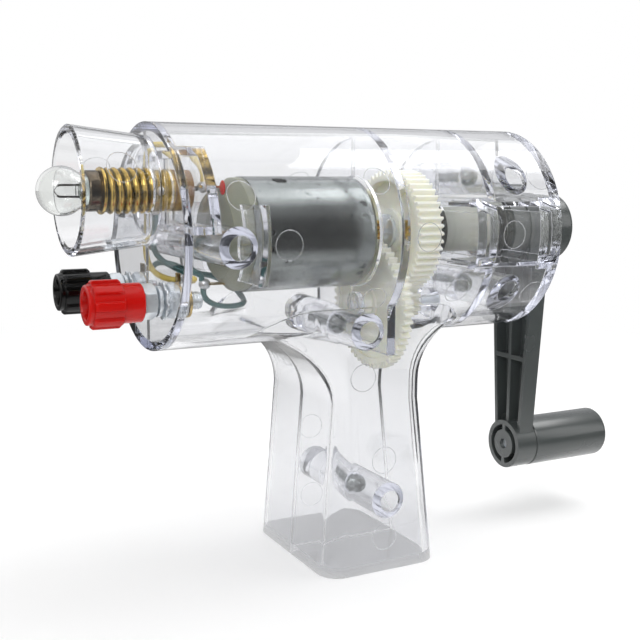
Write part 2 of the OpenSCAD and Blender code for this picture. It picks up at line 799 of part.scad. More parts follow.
module bulb_stem() {
    stem_r = glass_neck_r - glass_t - seat_gap;
    color([0.8, 0.86, 0.85, 0.6])
        turned([[0, collar_at - stem_len], [lead_h + 2 * lead_r, collar_at - stem_len], [stem_r, collar_at + stem_len / 3],
                [stem_r, collar_at + collar_len / 2],
                [0, collar_at + collar_len / 2]], h = lamp_rise, fn = small_fn);
}

// Two lead wires and the filament between their tips
module bulb_filament() {
    tip = glass_at - tip_in;
    peak = tip - filament_rise;
    color([0.3, 0.3, 0.32]) {
        for (s = [-1, 1])
            rod(tip, collar_at - stem_len, lead_r, h = lamp_rise + s * lead_h, fn = 16);
        for (s = [-1, 1])
            hull() {
                at(tip + lead_r, 0, lamp_rise + s * lead_h) sphere(filament_r, $fn = 8);
                at(peak, 0, lamp_rise) sphere(filament_r, $fn = 8);
            }
    }
}
stem_len = 1.2;
lead_r = 0.16;
lead_h = 1.3;
tip_in = 0.7;
filament_rise = 1.2;
filament_r = 0.11;

module bulb_base() {
    thread_r = socket_r - cradle_fit;
    collar_end = collar_at + collar_len;
    seat = collar_at + collar_len / 2;
    hole = glass_neck_r + seat_gap;
    floor_at = bulb_end - contact_len - seat_gap;
    color([0.25, 0.23, 0.2]) difference() {
        turned([[0, seat + seat_gap], [hole, seat + seat_gap], [hole, collar_at], [collar_r, collar_at + base_edge],
                [collar_r, collar_end], [thread_r, collar_end + base_edge], [thread_r, floor_at - base_edge],
                [thread_r - 3 * base_edge, floor_at], [0, floor_at]], h = lamp_rise);
        at(seat, -collar_r - dimple_r, lamp_rise - 3 * dimple_r)
            rotate([-70, 0, 0]) cylinder(r = dimple_r, h = 1.5 * dimple_r, $fn = small_fn);
    }
}
base_edge = 0.3;
dimple_r = 0.7;
contact_len = 1.15;
tip_len = 0.5;
contact_rim_r = 2.6;

module bulb_contact() {
    color([0.7, 0.7, 0.68])
        turned([[0, bulb_end - contact_len], [contact_rim_r, bulb_end - contact_len],
                [contact_rim_r / 2, bulb_end - tip_len], [contact_r, bulb_end], [0, bulb_end]],
               h = lamp_rise, fn = small_fn);
}

// Rolled brass thread, then a plain sleeve through the front plate
module lamp_socket() {
    trough = socket_r + socket_t;
    crest = trough + thread_crest;
    turns = floor(socket_len / thread_pitch);
    steps = 8;
    start = socket_at + 2 * socket_t;
    wave = [for (i = [0:turns * steps]) let (a = 360 * i / steps)
        [trough + thread_crest * (1 - cos(a)) / 2, start + thread_pitch * i / steps]];
    color([0.78, 0.6, 0.25])
        turned(concat([[socket_r, socket_at], [crest, socket_at], [crest + socket_t / 4, socket_at + socket_t],
                       [crest, socket_at + 1.5 * socket_t]], wave,
                      [[trough, socket_at + socket_len + socket_t], [trough, sleeve_end], [socket_r, sleeve_end]]),
               h = lamp_rise);
}

module socket_insulator() {
    r = socket_r - seat_gap;
    color([0.4, 0.24, 0.12]) difference() {
        union() {
            rod(sleeve_end - insulator_in, sleeve_end + over, r, h = lamp_rise);
            rod(sleeve_end + seat_gap, sleeve_end + insulator_t, socket_r + socket_t, h = lamp_rise);
        }
        rod(sleeve_end - 2 * insulator_in, sleeve_end + 2 * insulator_t, contact_r + seat_gap, h = lamp_rise,
            fn = small_fn);
    }
}
insulator_in = 1.4;
insulator_t = 2.6;
contact_r = 0.9;

module socket_contact() {
    back = sleeve_end + insulator_t;
    color([0.8, 0.66, 0.35]) {
        rod(bulb_end + seat_gap, back + contact_r, contact_r, h = lamp_rise, fn = small_fn);
        rod(back + seat_gap, back + contact_r, contact_r * 2, h = lamp_rise, fn = small_fn);
    }
}

// Outline of the fluted head: ribs with a round crest, on a round core
module flutes_outline() {
    pitch = 360 / flutes;
    core_r = neck_r + flute_step;
    polygon([for (k = [0:flutes - 1], j = [0:6])
        let (r = [core_r, core_r, cap_r - flute_step, cap_r, cap_r, cap_r - flute_step, core_r][j],
             a = (k + flute_shares[j]) * pitch)
        [r * cos(a), r * sin(a)]]);
}
flutes = 8;
flute_shares = [-0.5, -0.28, -0.2, -0.1, 0.1, 0.2, 0.28];
flute_step = 0.25;
collar_step = 1.1;

// Fluted plastic cap of a terminal
module terminal_cap(side) {
    y = side * post_y;
    difference() {
        union() {
            rod(cap_front, cap_end, neck_r, y, -post_drop);
            plate(cap_front + collar_step, head_end, y, -post_drop) flutes_outline();
        }
        rod(cap_front - over, cap_end + over, post_r + run_gap, y, -post_drop);
    }
}

module red_cap() { color([0.85, 0.08, 0.06]) terminal_cap(-1); }
module black_cap() { color([0.06, 0.06, 0.07]) terminal_cap(1); }

module terminal_posts() {
    stud_end = tag_at + tag_t + stud_over;
    color([0.8, 0.8, 0.78]) for (s = [-1, 1]) difference() {
        union() {
            rod(post_at, cap_end + nut_gap / 2, post_r, s * post_y, -post_drop);
            rod(cap_end, stud_end, stud_r, s * post_y, -post_drop, small_fn);
        }
        rod(post_at - over, post_at + plug_depth, plug_r, s * post_y, -post_drop);
    }
}
plug_depth = 9;
post_in_cap = 1.8;
post_at = cap_front + post_in_cap;
stud_over = 3;

// Hexagon nut from depth d0
module hex_nut(d0, t, s) {
    difference() {
        at(d0, s * post_y, -post_drop) rotate([0, 90, 0]) cylinder(d = nut_flats / cos(30), h = t, $fn = 6);
        rod(d0 - over, d0 + t + over, stud_r + wire_fit, s * post_y, -post_drop, small_fn);
    }
}

module terminal_nuts() {
    color([0.8, 0.81, 0.82]) for (s = [-1, 1]) {
        hex_nut(outer_nut_at, outer_nut_t, s);
        hex_nut(plate_t + run_gap, nut_t, s);
    }
}

module lock_washers() {
    front = outer_nut_at + outer_nut_t + run_gap;
    color([0.75, 0.76, 0.77]) for (s = [-1, 1]) {
        sleeve(front, front + lock_t, nut_flats / 2, stud_r + seat_gap, s * post_y, -post_drop, small_fn);
        sleeve(front + lock_t + run_gap, -run_gap, nut_flats / 2 + lock_t, stud_r + seat_gap, s * post_y, -post_drop,
               small_fn);
    }
}
lock_t = 0.9;

// Ring tags behind the inner nuts, each with a tongue for its wire
module solder_tags() {
    ring_r = nut_flats / 2;
    color([0.82, 0.78, 0.6]) for (s = [-1, 1]) difference() {
        union() {
            rod(tag_at, tag_at + tag_t, ring_r, s * post_y, -post_drop, small_fn);
            block(tag_at, tag_at + tag_t, s * post_y - tag_w / 2, s * post_y + tag_w / 2, -post_drop, tag_top - post_drop);
        }
        rod(tag_at - over, tag_at + tag_t + over, stud_r + seat_gap, s * post_y, -post_drop, small_fn);
    }
}
tag_at = plate_t + nut_t + 2 * run_gap;
tag_t = 0.5;
tag_w = 2;
tag_top = 6;
tag_wire_h = -8.4;

// A round wire swept along points given as [depth, across, height over the axis]
module wire(route, r) {
    sides = 8;
    path = smooth(smooth(route));
    n = len(path);
    last = n - 1;
    place = [for (p = path) [fx(p[0]), p[1], axis_h + p[2]]];
    dirs = [for (i = [0:last]) unit(place[min(i + 1, last)] - place[max(i - 1, 0)])];
    frames = carried(dirs, [start_up(dirs[0])]);
    points = [for (i = [0:last], k = [0:sides - 1])
        let (u = frames[i], v = cross(dirs[i], u), a = 360 * k / sides)
        place[i] + r * (cos(a) * u + sin(a) * v)];
    walls = [for (i = [0:last - 1], k = [0:sides - 1])
        let (m = (k + 1) % sides)
        each [[i * sides + k, (i + 1) * sides + k, (i + 1) * sides + m],
              [i * sides + k, (i + 1) * sides + m, i * sides + m]]];
    polyhedron(points, concat([[for (k = [0:sides - 1]) k]], walls, [[for (k = [sides - 1:-1:0]) last * sides + k]]));
}

function unit(v) = v / norm(v);
// A direction square to d to start the sweep with
function start_up(d) = unit(cross(d, abs(d[2]) < 0.9 ? [0, 0, 1] : [0, 1, 0]));
// Carries the side direction along the route without twist
function carried(dirs, done) =
    len(done) == len(dirs) ? done
        : let (d = dirs[len(done)], u = done[len(done) - 1], flat = u - (u * d) * d)
          carried(dirs, concat(done, [unit(flat)]));
// Cuts the corners of a route, keeping both ends
function smooth(p) =
    concat([p[0]], [for (i = [0:len(p) - 2]) each [p[i] * 0.75 + p[i + 1] * 0.25, p[i] * 0.25 + p[i + 1] * 0.75]],
           [p[len(p) - 1]]);

// Routes of the wires, as depth, across and height over the axis
teal_route = [[5, post_y, tag_wire_h], [7, post_y, tag_wire_h], [8.6, 13.6, -7.2], [11, 13.4, -7.2], [14.6, 13, -8.4], [17, 12.6, -10.4],
              [20.6, 12, -11], [23.8, 11, -12.6], [25.6, 8, -14.8], [25.6, 3, -16.4], [23.4, 0, -17], [19.4, 0, -17.2],
              [16, 0, -16.4], [13.6, 0, -14.6], [13.6, 0, -12.4]];
lamp_route = [[13.2, 0, -10.6], [13.2, 0, -9.2], [10.8, 0.6, -8.4], [8.2, 3, -6.8], [6.2, 3.6, -5.4], [4.6, 3, -3.4],
              [3.7, 1.4, -0.6], [3.7, 0, 2.4], [3.7, 0, 5.85]];
yellow_route = [[5, -post_y, tag_wire_h], [7, -post_y, tag_wire_h], [7.2, -9, -9.4], [6, 0, -9.6], [4.8, 5, -8.4], [3.7, 6.6, -5],
                [3.7, 5.95, 0], [3.7, 5.95, 16], [3.9, 5.9, 20.6], [7, 5.2, 21.2], [10.6, 4, 20.6], [13.4, 2.4, 18.6],
                [15.4, 0, 15.4], [15.4, 0, 12.2]];
jumper_route = [[12.4, 0, 11], [12.9, 0, 11], [13.4, 0, 11], [13.9, 0, 11]];

module wire_teal() { color([0.2, 0.42, 0.42]) wire(teal_route, wire_r); }
module wire_yellow() { color([0.82, 0.72, 0.25]) wire(yellow_route, wire_r); }
module wire_lamp() { color([0.2, 0.42, 0.42]) wire(lamp_route, wire_r); }
module wire_jumper() { color([0.8, 0.81, 0.82]) wire(jumper_route, wire_r * lump_share); }

// Lumps of solder at both motor blades, both tags and the lamp's sleeve, each cut round what it holds
module solder_joints() {
    fit = wire_r + wire_fit;
    tag_end = tag_at + tag_t;
    sleeve_r = socket_r + socket_t + wire_fit;
    color([0.72, 0.73, 0.74]) {
        difference() {
            union() {
                at(blade_at, 0, -blade_h) sphere(lump_r, $fn = 24);
                at(blade_at + lump_r, 0, blade_h) sphere(lump_r, $fn = 24);
            }
            for (s = [-1, 1])
                block(blade_at, motor_at, -blade_w / 2, blade_w / 2, s * blade_h - blade_t / 2, s * blade_h + blade_t / 2);
            wire_bore(teal_route[len(teal_route) - 1], -1, fit);
            wire_bore(lamp_route[0], 1, fit);
            wire_bore(yellow_route[len(yellow_route) - 1], 1, fit);
        }
        for (s = [-1, 1])
            turned(concat([[fit, tag_end]], lump_side(lump_r * lump_share, fit, tag_end)), s * post_y, tag_wire_h);
        difference() {
            union() {
                at(lamp_route[8][0], 0, lamp_rise - sleeve_r) sphere(lump_r * lump_share, $fn = 24);
                at(lamp_route[8][0], -sleeve_r, lamp_rise) sphere(lump_r * lump_share, $fn = 24);
            }
            rod(0, sleeve_end, sleeve_r, h = lamp_rise);
            wire_bore(lamp_route[8], -1, fit);
        }
    }
}
lump_r = 1.4;
lump_share = 0.8;

// Side of a half round lump behind depth d with a hole through it, in [radius, depth]
function lump_side(r, hole, d) =
    [for (i = [0:6]) let (a = acos(hole / r) * i / 6) [r * cos(a), d + r * sin(a)]];

// Room for a wire's end in a lump of solder, upwards or downwards from a place
module wire_bore(place, up, r)
    at(place[0], place[1], place[2]) rotate([up > 0 ? 0 : 180, 0, 0]) cylinder(r = r, h = 2 * lump_r, $fn = small_fn);

casing_left();
casing_right();
casing_screws();
motor_can();
motor_magnets();
motor_end_cap();
motor_terminals();
motor_bushes();
armature();
armature_windings();
commutator();
motor_shaft();
motor_pinion();
lay_axle();
lay_gear();
crank_gear();
crank_shaft();
shaft_washers();
gear_screw();
crank_arm();
handle_pin();
handle();
bulb_glass();
bulb_stem();
bulb_filament();
bulb_base();
bulb_contact();
lamp_socket();
socket_insulator();
socket_contact();
red_cap();
black_cap();
terminal_posts();
terminal_nuts();
lock_washers();
solder_tags();
wire_teal();
wire_yellow();
wire_lamp();
wire_jumper();
solder_joints();
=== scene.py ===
"""Looks of a hand crank generator in a clear casing, laid out as an add-on and run as a script."""

import json

import bmesh
import bpy
import numpy as np
from bpy.props import FloatProperty, FloatVectorProperty, IntProperty, PointerProperty
from mathutils import Matrix, Vector


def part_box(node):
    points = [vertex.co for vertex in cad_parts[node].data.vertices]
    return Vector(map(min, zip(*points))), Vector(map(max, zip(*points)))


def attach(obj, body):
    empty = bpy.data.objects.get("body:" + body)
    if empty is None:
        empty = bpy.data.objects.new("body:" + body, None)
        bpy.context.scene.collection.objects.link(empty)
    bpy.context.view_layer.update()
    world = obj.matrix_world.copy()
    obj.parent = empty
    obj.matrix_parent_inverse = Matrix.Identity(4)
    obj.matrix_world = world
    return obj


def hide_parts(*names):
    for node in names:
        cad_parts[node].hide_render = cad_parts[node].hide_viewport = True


bl_info = {
    "name": "Hand crank generator",
    "version": (1, 0, 0),
    "blender": (4, 5, 0),
    "location": "3D View > Sidebar > Generator",
    "description": "Finishes, small parts, stage and camera of a clear hand crank generator",
    "category": "Object",
}

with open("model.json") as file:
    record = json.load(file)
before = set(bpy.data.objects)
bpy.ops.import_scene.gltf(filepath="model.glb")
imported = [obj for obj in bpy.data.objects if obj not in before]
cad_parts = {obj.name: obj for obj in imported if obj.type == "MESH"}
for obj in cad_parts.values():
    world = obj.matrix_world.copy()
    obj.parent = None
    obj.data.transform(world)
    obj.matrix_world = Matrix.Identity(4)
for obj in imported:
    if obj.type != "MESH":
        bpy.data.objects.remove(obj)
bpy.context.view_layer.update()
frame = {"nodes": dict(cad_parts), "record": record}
BODIES = frame["record"]["behaviour"]["bodies"]
BODY_OF = {node: body for body, nodes in BODIES.items() for node in nodes}
SLOT_OF = {node: made.data.materials[0].name for node, made in frame["nodes"].items()}
for plain in bpy.data.materials:
    plain.name = "frame_" + plain.name


def middle_z(node):
    """The height of the middle of a node's box."""
    low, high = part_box(node)
    return (low.z + high.z) / 2


MM = 0.001
BARREL_LENGTH = 100 * MM
AXIS_Z = middle_z("shaft_washers")
LAMP_Z = middle_z("lamp_socket")
BARREL_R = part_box("casing_left")[1].z - AXIS_Z
FRONT_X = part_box("casing_left")[1].x - BARREL_LENGTH

# Ring marks, as depth in mm behind the barrel's front and degrees above the level of the axis they lie round
BARREL_MARKS = ((14, 24), (24.5, -2), (48.5, 32), (48.5, -36), (61, 0),
                (72, -33), (75, 32), (86, 0), (96, 34), (96, -38))
SHROUD_MARKS = ((-8.5, 26),)
# Ring marks on the grip's sides, as depth and height in mm
GRIP_MARKS = ((47, 48.5), (53, 27.5), (53.4, 8))
SHROUD_INSIDE, GRIP_INSIDE = 11.6 * MM, 18.2 * MM

# Each lamp's place and size in metres, by the name of the setting that holds its power
LAMPS = {
    "overhead": ((0.42, 0.1, 1.05), (1.3, 1.0)),
    "key": ((-0.85, -0.75, 0.85), (0.6, 0.6)),
    "side": ((0.95, -0.7, 0.45), (0.4, 0.7)),
    "handle": ((0.33, -0.02, 0.5), (0.22, 0.28)),
}
# The camera's place, and its right, up and back in the frame, as fitted to the photograph
CAMERA_PLACE = (-0.12335, -0.21926, 0.09763)
CAMERA_AXES = ((0.8848, -0.4660, 0.0062), (0.0644, 0.1355, 0.9887), (-0.4616, -0.8743, 0.1499))
# How often light may pass on, so that it gets through all the walls of the casing
BOUNCES = {"max_bounces": 28, "transmission_bounces": 28, "glossy_bounces": 10, "transparent_max_bounces": 16}
WHITE = (1, 1, 1, 1)
# What shiny surfaces see: greys from straight down to straight up, a pale wall at the back and a white one at
# the left. A wall's reach is where it starts, where it is full, and its shares there, along y or along x
HORIZON = ((0.0, 0.03), (0.45, 0.04), (0.65, 0.35), (1.0, 0.35))
BACK_WALL, BACK_REACH, LEFT_REACH = (0.7, 0.71, 0.73, 1), (-0.15, 0.45, 0, 0.75), (0.05, -0.3, 0, 0.9)
# Shares by which clear pieces darken the white behind them, and shiny surfaces the floor, and the share of a
# mirror image that is left where it arises within a clear piece
VEIL, FLOOR_IN_METAL, MIRROR_IN_CLEAR = 0.07, 0.88, 0.3
# The floor's grey, its lift near the object, half its side, and where the backdrop starts and is full
FLOOR_TONE, FLOOR_LIFT, FLOOR_SIDE, FLOOR_NEAR, FLOOR_FAR = 0.93, 0.12, 4.0, 0.12, 0.4


def hue(name, default, text):
    """A colour that a user can change."""
    return FloatVectorProperty(name=name, description=text, subtype="COLOR", size=3, min=0, max=1,
                               default=default)


def length(name, default, text):
    """A length in metres that a user can change."""
    return FloatProperty(name=name, description=text, unit="LENGTH", subtype="DISTANCE", precision=5,
                         min=0, default=default)


def power(name, default, text):
    """A lamp's power in watts that a user can change."""
    return FloatProperty(name=name, description=text, unit="POWER", min=0, default=default)


class GeneratorColours(bpy.types.PropertyGroup):
    """Colours of the generator's finishes."""
    clear: hue("Clear moulding", (0.945, 0.948, 0.955), "Tint of the clear casing")
    zinc: hue("Zinc steel", (0.265, 0.283, 0.278), "Motor can and screws")
    end_cap: hue("Motor end cap", (0.225, 0.235, 0.175), "Plastic cap at the front of the motor")
    nylon: hue("Nylon gears", (0.96, 0.945, 0.8), "Cream gears")
    grey: hue("Grey crank", (0.06, 0.068, 0.067), "Crank arm and handle")
    shaft: hue("Grey shaft", (0.5, 0.51, 0.44), "Crank shaft inside the casing")
    red: hue("Red cap", (0.52, 0.004, 0.002), "Red terminal cap")
    black: hue("Black cap", (0.002, 0.002, 0.002), "Black terminal cap")
    brass: hue("Brass", (0.75, 0.52, 0.15), "Threaded lamp socket")
    steel: hue("Bright steel", (0.83, 0.88, 0.92), "Nuts, washers and posts")
    copper: hue("Copper", (0.75, 0.33, 0.15), "Armature windings")
    teal: hue("Teal wire", (0.025, 0.115, 0.115), "Insulation of the teal wires")
    yellow: hue("Yellow wire", (0.72, 0.55, 0.1), "Insulation of the yellow wire")


class GeneratorSizes(bpy.types.PropertyGroup):
    """Sizes of the small forms that are made here."""
    edge: length("Edge rounding", 0.0003, "Radius of the clear moulding's edges")
    wall: length("Casing wall", 0.002, "Wall of the clear moulding, on whose inside the ring marks lie")
    mark_r: length("Ejector mark", 0.0033, "Radius of the ring marks inside the casing")
    mark_t: length("Mark thickness", 0.0001, "Radius of the raised line of a ring mark")
    pitch: length("Lamp thread pitch", 0.00181, "Distance from turn to turn of the lamp thread")
    crest: length("Lamp thread height", 0.0005, "Height of the rolled lamp thread")
    filament_r: length("Filament coil", 0.00011, "Radius of the filament's coil")
    turns: IntProperty(name="Filament turns", description="Turns of the filament's coil", min=4, max=60,
                       default=22)
    stud_pitch: length("Stud pitch", 0.0007, "Pitch of the terminal studs' thread")


class GeneratorStage(bpy.types.PropertyGroup):
    """Light, floor and camera."""
    ambient: FloatProperty(name="Ambient light", description="Strength of the room's light", min=0,
                           default=0.62)
    overhead: power("Overhead lamp", 4.1, "Power of the lamp above")
    key: power("Key lamp", 4.6, "Power of the lamp at the front left")
    side: power("Side lamp", 1.4, "Power of the lamp at the right")
    handle: power("Handle lamp", 0.55, "Power of the small lamp over the handle")
    lens: FloatProperty(name="Lens", description="Focal length in millimetres", unit="CAMERA", min=10,
                        default=55.95)


# ---------------------------------------------------------------- surfaces

def grid_faces(rows, columns, ring):
    """Quads between neighbours of a grid of rows and columns; with ring, the last row joins the first.

    Cell (i, j) joins points (i, j), (i+1, j), (i+1, j+1) and (i, j+1), and columns always close."""
    i, j = np.meshgrid(np.arange(rows if ring else rows - 1), np.arange(columns), indexing="ij")
    k, m = (i + 1) % rows, (j + 1) % columns
    corners = (i * columns + j, k * columns + j, k * columns + m, i * columns + m)
    return np.stack(corners, axis=-1).reshape(-1, 4)


def hand_over(name, mesh, body, slot, sharp):
    """A mesh as an object in a slot's finish, smooth up to a sharp angle in degrees, riding on a body."""
    made = bpy.data.objects.new(name, mesh)
    bpy.context.scene.collection.objects.link(made)
    mesh.shade_smooth()
    mesh.set_sharp_from_angle(angle=np.radians(sharp))
    mesh.materials.clear()
    mesh.materials.append(finish_of(slot))
    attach(made, body)
    return made


def piece(name, grids, body, slot, ring=False, sharp=40):
    """One object from grids of points, each a closed surface, with doubles merged and faces outwards."""
    points, faces, start = [], [], 0
    for grid in grids:
        rows, columns = grid.shape[:2]
        faces.append(grid_faces(rows, columns, ring) + start)
        points.append(grid.reshape(-1, 3))
        start += rows * columns
    mesh = bpy.data.meshes.new(name)
    mesh.from_pydata(np.concatenate(points).tolist(), [], np.concatenate(faces).tolist())
    work = bmesh.new()
    work.from_mesh(mesh)
    bmesh.ops.remove_doubles(work, verts=work.verts, dist=2e-7)
    bmesh.ops.dissolve_degenerate(work, dist=1e-7, edges=work.edges)
    bmesh.ops.recalc_face_normals(work, faces=work.faces)
    work.to_mesh(mesh)
    work.free()
    return hand_over(name, mesh, body, slot, sharp)


def copy_of(node, name, slot, sharp):
    """A merged, smooth copy of a frame part that stands for it."""
    mesh = frame["nodes"][node].data.copy()
    mesh.name = name
    work = bmesh.new()
    work.from_mesh(mesh)
    bmesh.ops.remove_doubles(work, verts=work.verts, dist=1e-6)
    work.to_mesh(mesh)
    work.free()
    if mesh.attributes.get("custom_normal"):
        mesh.attributes.remove(mesh.attributes["custom_normal"])
    made = hand_over(name, mesh, BODY_OF[node], slot, sharp)
    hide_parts(node)
    return made


def full_turn(steps):
    """Angles of a full turn in even steps, as one row."""
    return np.linspace(0, 2 * np.pi, steps, endpoint=False)[None]


def rings(x, r, a, y, z):
    """Rings about a line along x: a point is (x, y + r cos a, z + r sin a)."""
    across = r * np.cos(a)
    return np.stack((np.broadcast_to(x, across.shape), y + across, z + r * np.sin(a)), axis=-1)


def turned(profile, y, z, steps=96):
    """A profile of (radius, x) turned about a line along x: each of its points makes one ring."""
    r, x = np.asarray(profile, float).T[:, :, None]
    return rings(x, r, full_turn(steps), y, z)


def wavy_turned(depths, radius_at, y, z, steps):
    """A surface about a line along x whose radius is a function of depth and angle."""
    x, a = np.asarray(depths, float)[:, None], full_turn(steps)
    return rings(x, radius_at(x, a), a, y, z)


def spiral_thread(x0, x1, trough, crest, pitch, y, z, steps=72, per_pitch=14):
    """A thread as a wave that climbs one pitch in a turn.

    Radius at (x, a) is trough + crest (1 - cos(2 pi x / pitch - a)) / 2, and the wave dies out over the
    last half pitch at each end."""
    x = np.linspace(x0, x1, max(8, int(per_pitch * (x1 - x0) / pitch)))[:, None]
    a = full_turn(steps)
    fade = np.clip(np.minimum(x - x0, x1 - x) / (pitch / 2), 0, 1)
    return rings(x, trough + crest * fade * (1 - np.cos(2 * np.pi * x / pitch - a)) / 2, a, y, z)


def rounded(route, times):
    """A route whose legs, several times over, keep only their points at a quarter and at three quarters."""
    p = np.asarray(route, float)
    for _ in range(times):
        a, b = p[:-1], p[1:]
        legs = np.stack((a * 0.75 + b * 0.25, a * 0.25 + b * 0.75), 1).reshape(-1, 3)
        p = np.concatenate((p[:1], legs, p[-1:]))
    return p


def swept(path, radius, sides=12, closed=False):
    """A round tube carried along a path.

    Ring i is path_i + r (cos a u_i + sin a w_i), where w is the route's direction crossed with the
    direction that the route takes least, and u squares them. An open tube's ends close on the path."""
    p = np.asarray(path, float)
    along = np.roll(p, -1, 0) - np.roll(p, 1, 0) if closed else np.gradient(p, axis=0)
    along /= np.linalg.norm(along, axis=1, keepdims=True)
    rare = np.linalg.svd(along)[2][-1]
    w = np.cross(along, rare)
    w /= np.linalg.norm(w, axis=1, keepdims=True)
    u = np.cross(w, along)
    a = full_turn(sides)[..., None]
    tube = p[:, None] + radius * (np.cos(a) * u[:, None] + np.sin(a) * w[:, None])
    if closed:
        return tube
    ends = [np.broadcast_to(p[k], (1, sides, 3)) for k in (0, -1)]
    return np.concatenate((ends[0], tube, ends[1]))


# ---------------------------------------------------------------- finishes

class Nodes:
    """Lays the nodes of one tree. Every helper takes outputs or plain values, and a plain value is set on
    the socket itself."""

    def __init__(self, tree):
        self.tree = tree
        tree.nodes.clear()

    def add(self, kind, inputs=(), **settings):
        """A node with its settings, and its inputs by name or number."""
        node = self.tree.nodes.new(kind)
        for key, value in settings.items():
            setattr(node, key, value)
        for key, source in dict(inputs).items():
            if isinstance(source, bpy.types.NodeSocket):
                self.tree.links.new(source, node.inputs[key])
            else:
                node.inputs[key].default_value = source
        return node

    def maths(self, operation, *terms, **settings):
        """A sum on numbers."""
        return self.add("ShaderNodeMath", enumerate(terms), operation=operation, **settings).outputs["Value"]

    def ranged(self, value, start, end, to_start=0.0, to_end=1.0, **settings):
        """A value's range from start to end stretched on another, and held within it."""
        terms = {"Value": value, "From Min": start, "From Max": end, "To Min": to_start, "To Max": to_end}
        return self.add("ShaderNodeMapRange", terms, **settings).outputs["Result"]

    def blended(self, share, one, other):
        """A mix of two colours by a share."""
        terms = {"Factor": share, "A": one, "B": other}
        return self.add("ShaderNodeMix", terms, data_type="RGBA").outputs["Result"]

    def mixed(self, share, one, other):
        """A mix of two shaders by a share."""
        return self.add("ShaderNodeMixShader", enumerate((share, one, other))).outputs["Shader"]

    def grouped(self, tree, **values):
        """The outputs of a node group with its own values."""
        return self.add("ShaderNodeGroup", values, node_tree=tree).outputs

    def noise(self, scale, detail, stretch=None):
        """A noise on Object coordinates, drawn out by stretch."""
        place = self.add("ShaderNodeTexCoord").outputs["Object"]
        if stretch:
            place = self.add("ShaderNodeMapping", {"Vector": place, "Scale": stretch}).outputs["Vector"]
        terms = {"Vector": place, "Scale": scale, "Detail": detail}
        return self.add("ShaderNodeTexNoise", terms).outputs["Fac"]


def group(name, inputs, outputs, lay):
    """A node group made once: inputs give defaults, outputs give kinds, and lay gives the outputs' sources."""
    if name in bpy.data.node_groups:
        return bpy.data.node_groups[name]
    tree = bpy.data.node_groups.new(name, "ShaderNodeTree")
    for label, default in inputs.items():
        socket = tree.interface.new_socket(label, in_out="INPUT", socket_type="NodeSocketFloat")
        socket.default_value = default
    for label, kind in outputs.items():
        tree.interface.new_socket(label, in_out="OUTPUT", socket_type="NodeSocket" + kind)
    nodes = Nodes(tree)
    nodes.add("NodeGroupOutput", lay(nodes, nodes.add("NodeGroupInput").outputs))
    return tree


def edges_group():
    """Rounded edges: a normal that turns over within a radius of each edge, and a mask of those edges.

    The mask grows from 0 to 1 as the two normals' product falls from flat to worn."""
    flat, worn = 0.995, 0.8

    def lay(nodes, given):
        bevel = nodes.add("ShaderNodeBevel", {"Radius": given["Radius"]}, samples=4).outputs["Normal"]
        plain = nodes.add("ShaderNodeNewGeometry").outputs["Normal"]
        product = nodes.add("ShaderNodeVectorMath", {0: bevel, 1: plain}, operation="DOT_PRODUCT")
        return {"Normal": bevel, "Edge": nodes.ranged(product.outputs["Value"], flat, worn)}
    return group("rounded edges", {"Radius": 0.0003}, {"Normal": "Vector", "Edge": "Float"}, lay)


def mottle_group():
    """Uneven tone: slow noise as a mask from 0 to 1, and fine grain as a height."""
    def lay(nodes, given):
        return {"Mask": nodes.ranged(nodes.noise(given["Scale"], 4), 0.32, 0.68),
                "Height": nodes.noise(given["Grain"], 3)}
    return group("uneven tone", {"Scale": 60, "Grain": 2500}, {"Mask": "Float", "Height": "Float"}, lay)


def specks_group():
    """Small dark specks and pits: twenty times what a noise stands above a threshold, from 0 to 1."""
    def lay(nodes, given):
        over = nodes.maths("SUBTRACT", nodes.noise(given["Scale"], 2), given["Threshold"])
        return {"Mask": nodes.maths("MULTIPLY", over, 20, use_clamp=True)}
    return group("specks", {"Scale": 700, "Threshold": 0.7}, {"Mask": "Float"}, lay)


def lines_group():
    """Fine drawn lines: noise stretched round the part, as a height and a mask."""
    def lay(nodes, given):
        drawn = nodes.noise(given["Scale"], 3, (1, 0.04, 0.04))
        return {"Height": drawn, "Mask": nodes.ranged(drawn, 0.35, 0.65)}
    return group("drawn lines", {"Scale": 1500}, {"Height": "Float", "Mask": "Float"}, lay)


def tone(colour, share=1.0):
    """A colour made lighter or darker by a share, with full alpha."""
    return tuple(min(1.0, c * share) for c in colour) + (1.0,)


def start_material(name):
    """A new material with an empty tree, and the helper that lays its nodes."""
    material = bpy.data.materials.new(name)
    material.use_nodes = True
    return material, Nodes(material.node_tree)


